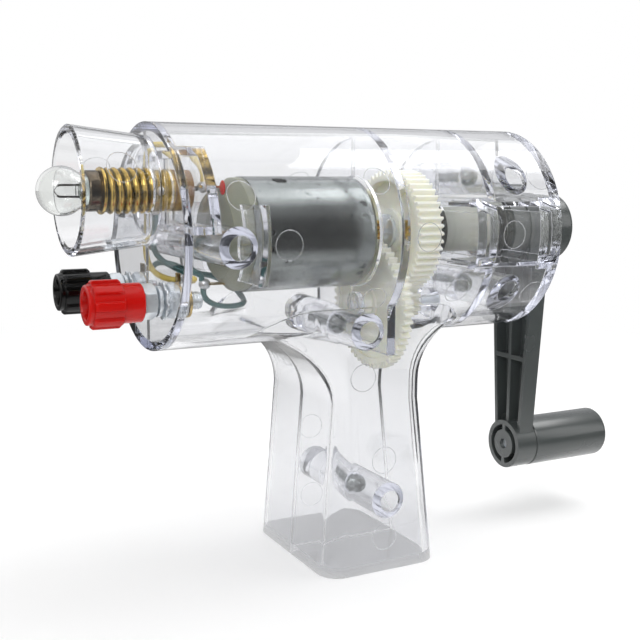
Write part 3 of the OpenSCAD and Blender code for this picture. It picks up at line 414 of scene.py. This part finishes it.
def solid_finish(name, colour, rough, scale, grain, bump, metal=0, edge=0.0003, wear=0.0, dark=0.9,
                 light=1.06, specks=None, lines=None, trough_shade=None, sockets=()):
    """A finish with uneven tone, grain and rounded edges.

    Colour runs from dark to light shares of the colour with the uneven tone, with specks, painted shade where
    the attribute sunk says and rubbed edges over it. Roughness runs between its two values."""
    speck_tone, rubbed_tone, relief_depth = 0.3, 1.7, 0.0002
    line_share, kept_share = 0.5, 0.667
    nodes = start_material(name)[1]
    uneven = nodes.grouped(mottle_group(), Scale=scale, Grain=grain)
    mask, height = uneven["Mask"], uneven["Height"]
    if lines:
        drawn = nodes.grouped(lines_group(), Scale=lines)
        both = nodes.maths("MULTIPLY_ADD", drawn["Mask"], line_share, mask)
        mask, height = nodes.maths("MULTIPLY", both, kept_share), drawn["Height"]
    paint = nodes.blended(mask, tone(colour, dark), tone(colour, light))
    rounding = nodes.grouped(edges_group(), Radius=edge)
    if specks:
        spots = nodes.grouped(specks_group(), Scale=specks[0], Threshold=specks[1])
        paint = nodes.blended(spots["Mask"], paint, tone(colour, speck_tone))
    # Painted shade: the colour darkens to the given trough colour where the attribute sunk is high, in a
    # thread's troughs
    if trough_shade:
        sunk = nodes.add("ShaderNodeAttribute", attribute_name="sunk")
        paint = nodes.blended(sunk.outputs["Fac"], paint, tone(trough_shade))
    if wear:
        rubbed = nodes.maths("MULTIPLY", rounding["Edge"], wear)
        paint = nodes.blended(rubbed, paint, tone(colour, rubbed_tone))
    relief = nodes.add("ShaderNodeBump", {"Strength": bump, "Distance": relief_depth, "Height": height,
                                          "Normal": rounding["Normal"]})
    shader = nodes.add("ShaderNodeBsdfPrincipled", {
        "Base Color": paint, "Metallic": metal, "Roughness": nodes.ranged(mask, 0, 1, *rough),
        "Normal": relief.outputs["Normal"], **dict(sockets)})
    nodes.add("ShaderNodeOutputMaterial", {"Surface": shader.outputs["BSDF"]})


def clear_finish(name, colour, rough, wave, ior=1.5, moulded=False):
    """Clear plastic or glass: full transmission, slow waves and a trace of haze, open to lamps.

    A moulded piece also has rounded edges, and a cool tint that deepens with the way through it."""
    haze_scale, wave_scale, wave_depth, shadow = 25, 45, 0.001, 0.975
    cool, density = (0.82, 0.84, 0.95), 22
    nodes = start_material(name)[1]
    haze = nodes.grouped(mottle_group(), Scale=haze_scale, Grain=wave_scale)
    relief = {"Strength": wave, "Distance": wave_depth, "Height": haze["Height"]}
    if moulded:
        edge = bpy.context.scene.generator_sizes.edge
        relief["Normal"] = nodes.grouped(edges_group(), Radius=edge)["Normal"]
    shader = nodes.add("ShaderNodeBsdfPrincipled", {
        "Base Color": tone(colour), "IOR": ior, "Transmission Weight": 1.0,
        "Roughness": nodes.ranged(haze["Mask"], 0, 1, *rough),
        "Normal": nodes.add("ShaderNodeBump", relief).outputs["Normal"]})
    through = nodes.add("ShaderNodeBsdfTransparent", {"Color": tone((shadow, shadow, shadow))})
    to_lamp = nodes.add("ShaderNodeLightPath").outputs["Is Shadow Ray"]
    output = {"Surface": nodes.mixed(to_lamp, shader.outputs["BSDF"], through.outputs["BSDF"])}
    if moulded:
        depth = nodes.add("ShaderNodeVolumeAbsorption", {"Color": tone(cool), "Density": density})
        output["Volume"] = depth.outputs["Volume"]
    nodes.add("ShaderNodeOutputMaterial", output)


# Sockets of milky plastic that lets light in a little way, and of the red caps, which let in less
MILKY = {"Subsurface Weight": 0.6, "Subsurface Radius": (1.0, 0.85, 0.55), "Subsurface Scale": 0.003}
MILKY_RED = {**MILKY, "Subsurface Radius": (1.0, 0.15, 0.1), "Subsurface Scale": 0.0008,
             "Specular IOR Level": 0.35}
LACQUER = {"Coat Weight": 0.6, "Coat Roughness": 0.22}

# Each slot's finish: how it is made, its colour or the name of the colour that a user can change, its settings
FINISHES = {
    "clear_plastic": (clear_finish, "clear", dict(rough=(0.0, 0.03), wave=0.02, moulded=True)),
    "bulb_glass": (clear_finish, (0.93, 0.94, 0.93), dict(rough=(0.0, 0.01), wave=0.03)),
    "stem_glass": (clear_finish, (0.72, 0.8, 0.77), dict(rough=(0.02, 0.08), wave=0.1, ior=1.52)),
    "zinc_steel": (solid_finish, "zinc", dict(
        rough=(0.16, 0.27), scale=45, grain=900, bump=0.06, metal=1, dark=0.85, light=1.15,
        specks=(700, 0.66))),
    "polished_steel": (solid_finish, "steel", dict(
        rough=(0.14, 0.28), scale=250, grain=2500, bump=0.05, metal=0.6, dark=0.8, specks=(1500, 0.72))),
    "dark_metal": (solid_finish, (0.13, 0.105, 0.075), dict(
        rough=(0.08, 0.22), scale=350, grain=3000, bump=0.06, metal=1, dark=0.5, light=2.2)),
    # The brass's trough colour is painted shade, laid in the lamp thread's troughs
    "brass": (solid_finish, "brass", dict(
        rough=(0.1, 0.24), scale=400, grain=3000, bump=0.06, metal=1, dark=0.6, light=1.2,
        specks=(1200, 0.7), trough_shade=(0.06, 0.045, 0.012))),
    "bronze": (solid_finish, (0.4, 0.26, 0.12), dict(
        rough=(0.4, 0.6), scale=300, grain=3000, bump=0.15, metal=1)),
    "copper": (solid_finish, "copper", dict(
        rough=(0.25, 0.4), scale=200, grain=3000, bump=0.1, metal=1, lines=3500)),
    "lamination": (solid_finish, (0.3, 0.3, 0.31), dict(
        rough=(0.35, 0.5), scale=200, grain=2500, bump=0.2, metal=1, lines=6000)),
    "lead_wire": (solid_finish, (0.045, 0.042, 0.04), dict(
        rough=(0.3, 0.5), scale=900, grain=6000, bump=0.05, metal=1)),
    "solder": (solid_finish, (0.66, 0.67, 0.69), dict(
        rough=(0.2, 0.45), scale=500, grain=1200, bump=0.35, metal=1)),
    "magnet": (solid_finish, (0.05, 0.05, 0.055), dict(rough=(0.5, 0.7), scale=90, grain=3000, bump=0.2)),
    "phenolic": (solid_finish, (0.2, 0.085, 0.03), dict(rough=(0.35, 0.5), scale=300, grain=4000, bump=0.08)),
    "end_cap_plastic": (solid_finish, "end_cap", dict(
        rough=(0.3, 0.42), scale=50, grain=1500, bump=0.04, sockets=MILKY)),
    "nylon": (solid_finish, "nylon", dict(
        rough=(0.32, 0.48), scale=70, grain=2000, bump=0.05, edge=0.00025, dark=0.93, light=1.03,
        sockets=MILKY)),
    "grey_plastic": (solid_finish, "grey", dict(
        rough=(0.2, 0.3), scale=40, grain=4000, bump=0.05, wear=0.35, dark=0.95, light=1.04,
        sockets=LACQUER)),
    "shaft_plastic": (solid_finish, "shaft", dict(rough=(0.3, 0.42), scale=60, grain=3000, bump=0.06)),
    "black_plastic": (solid_finish, "black", dict(
        rough=(0.08, 0.16), scale=120, grain=3000, bump=0.03, wear=0.1,
        sockets={"Specular IOR Level": 0.3})),
    "red_plastic": (solid_finish, "red", dict(
        rough=(0.12, 0.24), scale=120, grain=3000, bump=0.03, sockets=MILKY_RED)),
    "teal_insulation": (solid_finish, "teal", dict(rough=(0.28, 0.4), scale=150, grain=3000, bump=0.04)),
    "yellow_insulation": (solid_finish, "yellow", dict(rough=(0.28, 0.4), scale=150, grain=3000, bump=0.04)),
}


def finish_of(slot):
    """The material of one of the record's slots, made the first time it is asked for."""
    if slot not in bpy.data.materials:
        maker, colour, settings = FINISHES[slot]
        if isinstance(colour, str):
            colour = getattr(bpy.context.scene.generator_colours, colour)
        maker(slot, colour, **settings)
    return bpy.data.materials[slot]


# ---------------------------------------------------------------- what the room shows to which rays

def looking(nodes, path):
    """1 for a ray from the camera, one through a clear piece and one off a shiny surface."""
    straight = nodes.maths("MAXIMUM", path["Is Camera Ray"], path["Is Transmission Ray"])
    return nodes.maths("MAXIMUM", straight, path["Is Glossy Ray"])


def mirrored(nodes, path):
    """1 once a ray has met a mirroring surface, and less where that was within a clear piece.

    A ray off bare metal has gone through no face of a clear wall, and one off metal behind a wall through
    four."""
    once = nodes.maths("MINIMUM", path["Glossy Depth"], 1.0)
    bare, behind = (nodes.maths("COMPARE", path["Transmission Depth"], faces, 0.5) for faces in (0, 4))
    whole = nodes.maths("MAXIMUM", bare, behind)
    return nodes.maths("MULTIPLY", once,
                       nodes.maths("MULTIPLY_ADD", whole, 1 - MIRROR_IN_CLEAR, MIRROR_IN_CLEAR))


def veiled(nodes, path):
    """The strength of the white background, a little less through a clear piece."""
    return nodes.maths("MULTIPLY_ADD", path["Is Transmission Ray"], -VEIL, 1.0)


# ---------------------------------------------------------------- operators

class MakeStage(bpy.types.Operator):
    """Lay the pale floor, the soft lights, the room and the camera"""
    bl_idname = "generator.stage"
    bl_label = "Stage, light and camera"

    def execute(self, context):
        scene, stage = context.scene, context.scene.generator_stage
        self.room(scene, stage.ambient)
        self.floor(scene)
        for name, (place, size) in LAMPS.items():
            self.lamp(scene, name + "_lamp", place, size, getattr(stage, name))
        self.camera(scene, stage.lens)
        for key, count in BOUNCES.items():
            setattr(scene.cycles, key, count)
        return {"FINISHED"}

    @staticmethod
    def room(scene, ambient):
        """A white room for straight looks, and a studio with a dim horizon for what metal and edges mirror."""
        scene.view_settings.view_transform = "Standard"
        scene.world = bpy.data.worlds.new("room")
        scene.world.use_nodes = True
        nodes = Nodes(scene.world.node_tree)
        path = nodes.add("ShaderNodeLightPath").outputs
        way = nodes.add("ShaderNodeTexCoord").outputs["Generated"]
        x, y, z = nodes.add("ShaderNodeSeparateXYZ", {"Vector": way}).outputs
        shade = nodes.add("ShaderNodeValToRGB", {"Fac": z})
        stops = shade.color_ramp.elements
        while len(stops) < len(HORIZON):
            stops.new(1.0)
        for stop, (place, grey) in zip(list(stops), HORIZON):
            stop.position, stop.color = place, (grey, grey, grey, 1)
        walls = nodes.blended(nodes.ranged(y, *BACK_REACH), shade.outputs["Color"], BACK_WALL)
        walls = nodes.blended(nodes.ranged(x, *LEFT_REACH), walls, WHITE)
        studio, white, light = (nodes.add("ShaderNodeBackground", terms).outputs["Background"] for terms in (
            {"Color": walls}, {"Color": WHITE, "Strength": veiled(nodes, path)},
            {"Color": WHITE, "Strength": ambient}))
        seen = nodes.mixed(mirrored(nodes, path), white, studio)
        nodes.add("ShaderNodeOutputWorld", {"Surface": nodes.mixed(looking(nodes, path), light, seen)})

    @staticmethod
    def floor(scene):
        """A plain floor under the foot that renders white and keeps the object's shadow.

        Near the object a look meets the matt floor, a little lifted, and far off the white backdrop."""
        mesh = bpy.data.meshes.new("floor")
        s = FLOOR_SIDE
        mesh.from_pydata([(-s, -s, 0), (s, -s, 0), (s, s, 0), (-s, s, 0)], [], [(0, 1, 2, 3)])
        floor = bpy.data.objects.new("floor", mesh)
        scene.collection.objects.link(floor)
        material, nodes = start_material("floor")
        path = nodes.add("ShaderNodeLightPath").outputs
        place = nodes.add("ShaderNodeTexCoord").outputs["Object"]
        away = nodes.add("ShaderNodeVectorMath", {0: place}, operation="LENGTH").outputs["Value"]
        mirror = mirrored(nodes, path)
        reach = nodes.maths("MULTIPLY", away, nodes.maths("ADD", mirror, 1.0))
        far = nodes.ranged(reach, FLOOR_NEAR, FLOOR_FAR, interpolation_type="SMOOTHSTEP")
        raised = nodes.maths("MULTIPLY_ADD", path["Is Transmission Ray"], -FLOOR_LIFT, FLOOR_LIFT)
        dim = nodes.maths("MULTIPLY_ADD", mirror, -FLOOR_IN_METAL, veiled(nodes, path))
        lift, backdrop = (nodes.add("ShaderNodeEmission", {"Strength": strength}).outputs["Emission"]
                          for strength in (raised, dim))
        grey = tone((FLOOR_TONE, FLOOR_TONE, FLOOR_TONE))
        matt = nodes.add("ShaderNodeBsdfDiffuse", {"Color": grey}).outputs["BSDF"]
        near = nodes.add("ShaderNodeAddShader", {0: matt, 1: lift}).outputs["Shader"]
        seen = nodes.mixed(far, near, backdrop)
        nodes.add("ShaderNodeOutputMaterial", {"Surface": nodes.mixed(looking(nodes, path), matt, seen)})
        mesh.materials.append(material)

    @staticmethod
    def lamp(scene, name, place, size, watts):
        """A soft rectangular lamp that faces the middle of the object."""
        data = bpy.data.lights.new(name, "AREA")
        data.shape = "RECTANGLE"
        data.size, data.size_y = size
        data.energy = watts
        lamp = bpy.data.objects.new(name, data)
        lamp.location = place
        towards = Vector((0, 0, AXIS_Z)) - lamp.location
        lamp.rotation_euler = towards.to_track_quat("-Z", "Y").to_euler()
        lamp.visible_camera = False
        scene.collection.objects.link(lamp)

    @staticmethod
    def camera(scene, lens):
        """The photograph's view."""
        data = bpy.data.cameras.new("photo_view")
        data.lens, data.sensor_width = lens, 36
        camera = bpy.data.objects.new("photo_view", data)
        camera.matrix_world = Matrix.Translation(CAMERA_PLACE) @ Matrix(CAMERA_AXES).transposed().to_4x4()
        scene.collection.objects.link(camera)
        scene.camera = camera


class PaintFrame(bpy.types.Operator):
    """Give every part of the frame its finish"""
    bl_idname = "generator.finishes"
    bl_label = "Finishes of the frame's parts"

    def execute(self, context):
        for node, made in frame["nodes"].items():
            if SLOT_OF[node] not in FINISHES:
                raise RuntimeError(f"no finish for {node}: {SLOT_OF[node]}")
            made.data.materials.clear()
            made.data.materials.append(finish_of(SLOT_OF[node]))
        return {"FINISHED"}


class MakeCasing(bpy.types.Operator):
    """Smooth clear halves of the casing, with the ring marks inside"""
    bl_idname = "generator.casing"
    bl_label = "Clear casing"

    def execute(self, context):
        for side in ("left", "right"):
            copy_of(f"casing_{side}", f"clear_half_{side}", "clear_plastic", 32)
        self.marks(context.scene.generator_sizes)
        return {"FINISHED"}

    @staticmethod
    def marks(sizes):
        """Thin raised rings, each wrapped on the wall.

        A ring's point lies r cos t along the barrel and r sin t round it: (x + r cos t, -R cos b,
        z + R sin b), with b = a + r sin t / R."""
        t = full_turn(48)[0]
        along, round_it = sizes.mark_r * np.cos(t), sizes.mark_r * np.sin(t)
        walls = ((BARREL_MARKS, BARREL_R - sizes.wall - sizes.mark_t / 2, AXIS_Z),
                 (SHROUD_MARKS, SHROUD_INSIDE, LAMP_Z))
        paths = []
        for side in (-1, 1):
            for marks, radius, height in walls:
                for depth, degrees in marks:
                    b = np.radians(degrees) + round_it / radius
                    paths.append(np.stack((FRONT_X + depth * MM + along, side * radius * np.cos(b),
                                           height + radius * np.sin(b)), 1))
            for depth, height in GRIP_MARKS:
                paths.append(np.stack((FRONT_X + depth * MM + along, 0 * t + side * GRIP_INSIDE,
                                       height * MM + round_it), 1))
        grids = [swept(path, sizes.mark_t, 6, closed=True) for path in paths]
        piece("ring_marks", grids, "casing", "clear_plastic", ring=True, sharp=180)


class MakeLamp(bpy.types.Operator):
    """Bulb glass, filament and the threaded lamp socket"""
    bl_idname = "generator.lamp"
    bl_label = "Lamp"

    def execute(self, context):
        sizes = context.scene.generator_sizes
        self.glass()
        self.filament(sizes)
        self.socket(sizes)
        return {"FINISHED"}

    @staticmethod
    def glass():
        """Blown glass: a round dome that draws in to a neck, as a wall between two profiles.

        A dome's point is (r cos a, middle - r sin a), from the tip to 22 degrees past the widest place."""
        low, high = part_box("bulb_glass")
        radius, wall, neck, straight = (high.z - low.z) / 2, 0.6 * MM, 4.05 * MM, 2.4 * MM
        middle = low.x + radius
        a = np.linspace(np.radians(90), np.radians(-22), 40)

        def side(inset):
            dome = np.stack(((radius - inset) * np.cos(a), middle - (radius - inset) * np.sin(a)), 1)
            return np.concatenate((dome, [(neck - inset, high.x - straight), (neck - inset, high.x)]))
        profile = np.concatenate((side(0), side(wall)[::-1]))
        made = piece("lamp_glass", [turned(profile, 0, LAMP_Z)], "bulb", "bulb_glass", sharp=60)
        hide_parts("bulb_glass")

    @staticmethod
    def filament(sizes):
        """Two posts with bent tips and a coil between them.

        The coil's line runs from tip to peak to tip, and its point is line + r (cos t u + sin t w)."""
        low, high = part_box("bulb_filament")
        post_r, wire_r = 0.25 * MM, 0.035 * MM
        rise = (high.z - low.z) / 2 - 0.16 * MM
        tip, peak, foot = low.x + 1.3 * MM, low.x + 0.35 * MM, high.x
        grids = []
        for s in (-1, 1):
            route = [(x, 0, LAMP_Z + s * rise * share) for x, share in (
                (foot, 1), (tip + 1 * MM, 0.98), (tip + 0.1 * MM, 0.96), (tip - 0.25 * MM, 0.78))]
            grids.append(swept(rounded(route, 2), post_r, 10))
        t = np.linspace(-1, 1, sizes.turns * 16)
        sag = (tip - 0.2 * MM - peak) * np.abs(t) ** 1.3
        line = np.stack((peak + sag, 0 * t, LAMP_Z + t * rise * 0.8), 1)
        turn = (t * np.pi * sizes.turns)[:, None]
        u, w = np.array([0.8, 0, 0.6]), np.array([0, 1.0, 0])
        grids.append(swept(line + sizes.filament_r * (np.cos(turn) * u + np.sin(turn) * w), wire_r, 6))
        made = piece("lamp_filament", grids, "bulb", "lead_wire", sharp=60)
        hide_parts("bulb_filament")

    def socket(self, sizes):
        """Rolled brass: a lip, a thread that climbs as a spiral and a plain sleeve, with the bore inside."""
        low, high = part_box("lamp_socket")
        bore, trough, turns, steps = 4.3 * MM, 4.7 * MM, 6.2, 72
        crest, roll, inside_crest = trough + sizes.crest, 0.1 * MM, sizes.crest * 0.15
        start = low.x + 0.8 * MM
        end = start + sizes.pitch * turns

        def turn(*profile):
            return turned(profile, 0, LAMP_Z, steps)

        def thread(radius, height):
            return spiral_thread(start, end, radius, height, sizes.pitch, 0, LAMP_Z, steps)
        grid = np.concatenate((
            turn((bore + roll, low.x), (crest, low.x), (crest + roll, low.x + 0.25 * MM),
                 (crest, low.x + 0.6 * MM)),
            thread(trough, sizes.crest), turn((trough, high.x), (bore, high.x)),
            thread(bore, inside_crest)[-2::-1], turn((bore, low.x + 0.2 * MM))))
        made = piece("brass_socket", [grid], "casing", "brass", ring=True, sharp=50)
        # Painted shade goes into the thread's troughs
        self.stain_troughs(made.data, trough, sizes.crest, end)
        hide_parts("lamp_socket")

    @staticmethod
    def stain_troughs(mesh, trough, crest, end):
        """Marks the thread's troughs in the attribute sunk, which lays painted shade in them.

        It is 1 at the trough's radius and 0 from a share of the crest's height on, in the bore and behind
        the thread's end."""
        # The painted shade in the troughs ends at the first share of the crest's height, and in the bore,
        # below the second, there is none
        shade_reach, in_bore = 0.65, -0.02
        place = np.empty(len(mesh.vertices) * 3)
        mesh.vertices.foreach_get("co", place)
        x, y, z = place.reshape(-1, 3).T
        rise = (np.hypot(y, z - LAMP_Z) - trough) / crest
        sunk = mesh.attributes.new("sunk", "FLOAT", "POINT")
        sunk.data.foreach_set("value", np.clip(1 - rise / shade_reach, 0, 1) * (rise > in_bore) * (x < end))


class MakeTerminals(bpy.types.Operator):
    """Fluted caps, threaded studs, hexagon nuts and washers"""
    bl_idname = "generator.terminals"
    bl_label = "Terminals"

    def execute(self, context):
        for colour in ("red", "black"):
            self.cap(colour)
        self.nuts()
        self.washers()
        self.posts(context.scene.generator_sizes)
        return {"FINISHED"}

    @staticmethod
    def cap(colour):
        """A cap with a plain collar, a fluted head and a waist.

        The flutes' radius is core + (top - core) times a flat-topped wave of eight ribs, and the ribs' top
        falls towards both ends of the head."""
        node = colour + "_cap"
        low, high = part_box(node)
        y, z = (low.y + high.y) / 2, (low.z + high.z) / 2
        crest, core, waist, bore = 5.3 * MM, 4.6 * MM, 4.35 * MM, 2.98 * MM
        head0, head1 = low.x + 1.1 * MM, low.x + 7.6 * MM
        fall0, fall1, slope, steps = 0.35 * MM, 0.5 * MM, 0.9, 192
        count, broad, flank = 8, 0.25, 0.55

        def ribs(x, a):
            wave = np.clip((np.cos(count * a) + broad) / flank, 0, 1)
            wave = wave * wave * (3 - 2 * wave)
            top = np.minimum(crest - (fall0 - np.minimum(x - head0, fall0)) * slope,
                             crest - (fall1 - np.minimum(head1 - x, fall1)) * slope)
            return core + (top - core) * wave
        depths = np.concatenate((np.linspace(head0, head0 + fall0, 4),
                                 np.linspace(head0 + 1 * MM, head1 - 1 * MM, 6),
                                 np.linspace(head1 - fall1, head1, 5)))
        head = wavy_turned(depths, ribs, y, z, steps)
        front = turned([(bore, low.x + 0.3 * MM), (bore + 0.15 * MM, low.x + 0.02 * MM),
                        (waist - 0.3 * MM, low.x), (waist - 0.05 * MM, low.x + 0.12 * MM),
                        (waist, low.x + 0.3 * MM), (waist, head0)], y, z, steps)
        back = turned([(waist, head1), (waist, high.x - 0.25 * MM), (waist - 0.2 * MM, high.x),
                       (bore, high.x)], y, z, steps)
        made = piece(f"{colour}_terminal", [np.concatenate((front, head, back))], BODY_OF[node],
                     f"{colour}_plastic", ring=True, sharp=38)
        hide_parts(node)

    @staticmethod
    def nuts():
        """Hexagon nuts with chamfered corners.

        The radius is the hexagon's, half its flats over the cosine of the angle from the nearest flat, cut
        by a cone near each face."""
        low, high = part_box("terminal_nuts")
        flats, bore, chamfer, corner = 7.0 * MM, 1.98 * MM, 0.25 * MM, np.pi / 6
        front_thick, rear_thick, cone, steps = 3.0 * MM, 2.2 * MM, 1.7, 96
        y_out, z = (high.y - low.y) / 2 - flats / 2 / np.cos(corner), (low.z + high.z) / 2
        grids = []
        for x0, thick in ((low.x, front_thick), (high.x - rear_thick, rear_thick)):
            def hexagon(x, a, x0=x0, thick=thick):
                flat = flats / 2 / np.cos((a + corner) % (2 * corner) - corner)
                rim = np.minimum(x - x0, x0 + thick - x)
                return np.minimum(flat, flats / 2 + 0.02 * MM + rim * cone)
            rise = np.linspace(0, 0.35 * MM, 6)
            depths = np.concatenate((x0 + rise, x0 + thick - rise[::-1]))
            for s in (-1, 1):
                outer = wavy_turned(depths, hexagon, s * y_out, z, steps)
                hole = turned([(bore + chamfer, x0 + thick), (bore, x0 + thick - 0.2 * MM),
                               (bore, x0 + 0.2 * MM), (bore + chamfer, x0)], s * y_out, z, steps)
                grids.append(np.concatenate((outer, hole)))
        made = piece("hexagon_nuts", grids, "casing", "polished_steel", ring=True, sharp=30)
        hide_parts("terminal_nuts")

    @staticmethod
    def washers():
        """A split spring washer and a toothed washer behind each outer nut.

        The spring's section is carried once round with a small climb and a gap. The toothed ring's faces
        are moved along x by lift sin(8 a), growing from the hole to the rim."""
        low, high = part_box("lock_washers")
        y_out, z = (high.y - low.y) / 2 - 4.4 * MM, (low.z + high.z) / 2
        inner, rim, thick, climb = 2.0 * MM, 3.45 * MM, 0.75 * MM, 0.2 * MM
        a = np.linspace(np.radians(8), np.radians(352), 60)[:, None]
        section = np.array([(inner, 0), (rim, 0), (rim, thick), (inner, thick)])[None]
        x = low.x + climb + section[..., 1] + climb * (a / np.pi - 1)
        radius = np.broadcast_to(section[..., 0], x.shape)

        hole, star_rim, teeth, star_lift, star_thick = 2.05, 4.3, 8, 0.16 * MM, 0.45 * MM
        turn = full_turn(128)
        r, side = np.array([(hole, 0), (3, 0), (4.15, 0), (star_rim, 0.5), (4.15, 1), (3, 1),
                            (hole, 1)]).T[:, :, None]
        wave = np.sin(teeth * turn)
        lift = star_lift * np.sign(wave) * np.abs(wave) ** 0.5 * (r - hole) / (star_rim - hole)
        star_x = high.x - 0.7 * MM + side * star_thick + lift
        notch, narrow, near_rim = 0.05, 0.6, 4
        notched = r * MM * (1 - notch * (np.cos(2 * teeth * turn) > narrow) * (r > near_rim))
        springs, stars = [], []
        for s in (-1, 1):
            coil = np.stack((x, s * y_out + radius * np.sin(a), z + radius * np.cos(a)), axis=-1)
            ends = [np.broadcast_to(coil[k].mean(0), (1, 4, 3)) for k in (0, -1)]
            springs.append(np.concatenate((ends[0], coil, ends[1])))
            stars.append(rings(star_x, notched, turn, s * y_out, z))
        for made in (piece("spring_washers", springs, "casing", "polished_steel", sharp=35),
                     piece("toothed_washers", stars, "casing", "polished_steel", ring=True, sharp=35)):
            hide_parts("lock_washers")

    @staticmethod
    def posts(sizes):
        """Plated studs: the plug socket in front, then a thread that climbs as a spiral."""
        low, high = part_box("terminal_posts")
        post, bore, stud, deep = 2.92 * MM, 2.02 * MM, 1.95 * MM, 9 * MM
        y_out, z = (high.y - low.y) / 2 - post, (low.z + high.z) / 2
        head_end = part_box("red_cap")[1].x + 0.1 * MM
        steps = 48
        grids = []
        for s in (-1, 1):
            y = s * y_out
            head = turned([(0, low.x + deep), (bore - 0.5 * MM, low.x + deep),
                           (bore, low.x + deep - 0.3 * MM), (bore, low.x + 0.3 * MM),
                           (bore + 0.25 * MM, low.x), (post - 0.2 * MM, low.x), (post, low.x + 0.2 * MM),
                           (post, head_end - 0.15 * MM), (post - 0.15 * MM, head_end)], y, z, steps)
            thread = spiral_thread(head_end, high.x - 0.3 * MM, stud - 0.16 * MM, 0.15 * MM,
                                   sizes.stud_pitch, y, z, steps, 8)
            end = turned([(stud - 0.35 * MM, high.x), (0, high.x)], y, z, steps)
            grids.append(np.concatenate((head, thread, end)))
        made = piece("plated_posts", grids, "casing", "polished_steel", sharp=40)
        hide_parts("terminal_posts")


class MakeWires(bpy.types.Operator):
    """Smooth wires, solder and the painted dot on the motor's end cap"""
    bl_idname = "generator.wires"
    bl_label = "Wires and solder"

    def execute(self, context):
        for node, name, slot in (("wire_teal", "teal_lead", "teal_insulation"),
                                 ("wire_yellow", "yellow_lead", "yellow_insulation"),
                                 ("wire_lamp", "lamp_lead", "teal_insulation"),
                                 ("solder_joints", "solder_drops", "solder")):
            copy_of(node, name, slot, 60)
        self.dot()
        return {"FINISHED"}

    @staticmethod
    def dot():
        """A drop of red paint beside the upper terminal: a shallow dome on the end cap's face.

        Its profile is (r cos b, face - h sin b), for b from 0 to a quarter turn."""
        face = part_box("motor_end_cap")[0].x
        r, h, sunk, y, z = 1.7 * MM, 0.2 * MM, 0.05 * MM, -3.2 * MM, AXIS_Z + 11.2 * MM
        b = np.linspace(0, 1, 6) * np.pi / 2
        dome = np.stack((r * np.cos(b), face - h * np.sin(b)), 1)
        grid = turned(np.concatenate(([(0, face + sunk), (r, face + sunk)], dome)), y, z, 32)
        piece("paint_dot", [grid], "casing", "red_plastic", sharp=60)


class MakeCrank(bpy.types.Operator):
    """Smooth crank arm and handle"""
    bl_idname = "generator.crank"
    bl_label = "Crank and handle"

    def execute(self, context):
        for node, name in (("crank_arm", "grey_arm"), ("handle", "grey_handle")):
            copy_of(node, name, "grey_plastic", 35)
        return {"FINISHED"}


class GENERATOR_PT_panel(bpy.types.Panel):
    """Buttons and settings of the generator"""
    bl_label = "Hand crank generator"
    bl_space_type = "VIEW_3D"
    bl_region_type = "UI"
    bl_category = "Generator"

    def draw(self, context):
        for group_name in SETTINGS:
            settings = getattr(context.scene, group_name)
            box = self.layout.box()
            for key in settings.bl_rna.properties.keys():
                if key not in ("rna_type", "name"):
                    box.prop(settings, key)
        for step in STEPS:
            self.layout.operator(step.bl_idname)


STEPS = (MakeStage, PaintFrame, MakeCasing, MakeLamp, MakeTerminals, MakeWires, MakeCrank)
SETTINGS = {"generator_colours": GeneratorColours, "generator_sizes": GeneratorSizes,
            "generator_stage": GeneratorStage}


def register():
    for cls in (*SETTINGS.values(), *STEPS, GENERATOR_PT_panel):
        bpy.utils.register_class(cls)
    for name, cls in SETTINGS.items():
        setattr(bpy.types.Scene, name, PointerProperty(type=cls))


def unregister():
    for name in SETTINGS:
        delattr(bpy.types.Scene, name)
    for cls in reversed((*SETTINGS.values(), *STEPS, GENERATOR_PT_panel)):
        bpy.utils.unregister_class(cls)


def main():
    """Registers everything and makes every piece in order."""
    register()
    for step in STEPS:
        area, name = step.bl_idname.split(".")
        getattr(getattr(bpy.ops, area), name)()


if __name__ == "__main__":
    main()
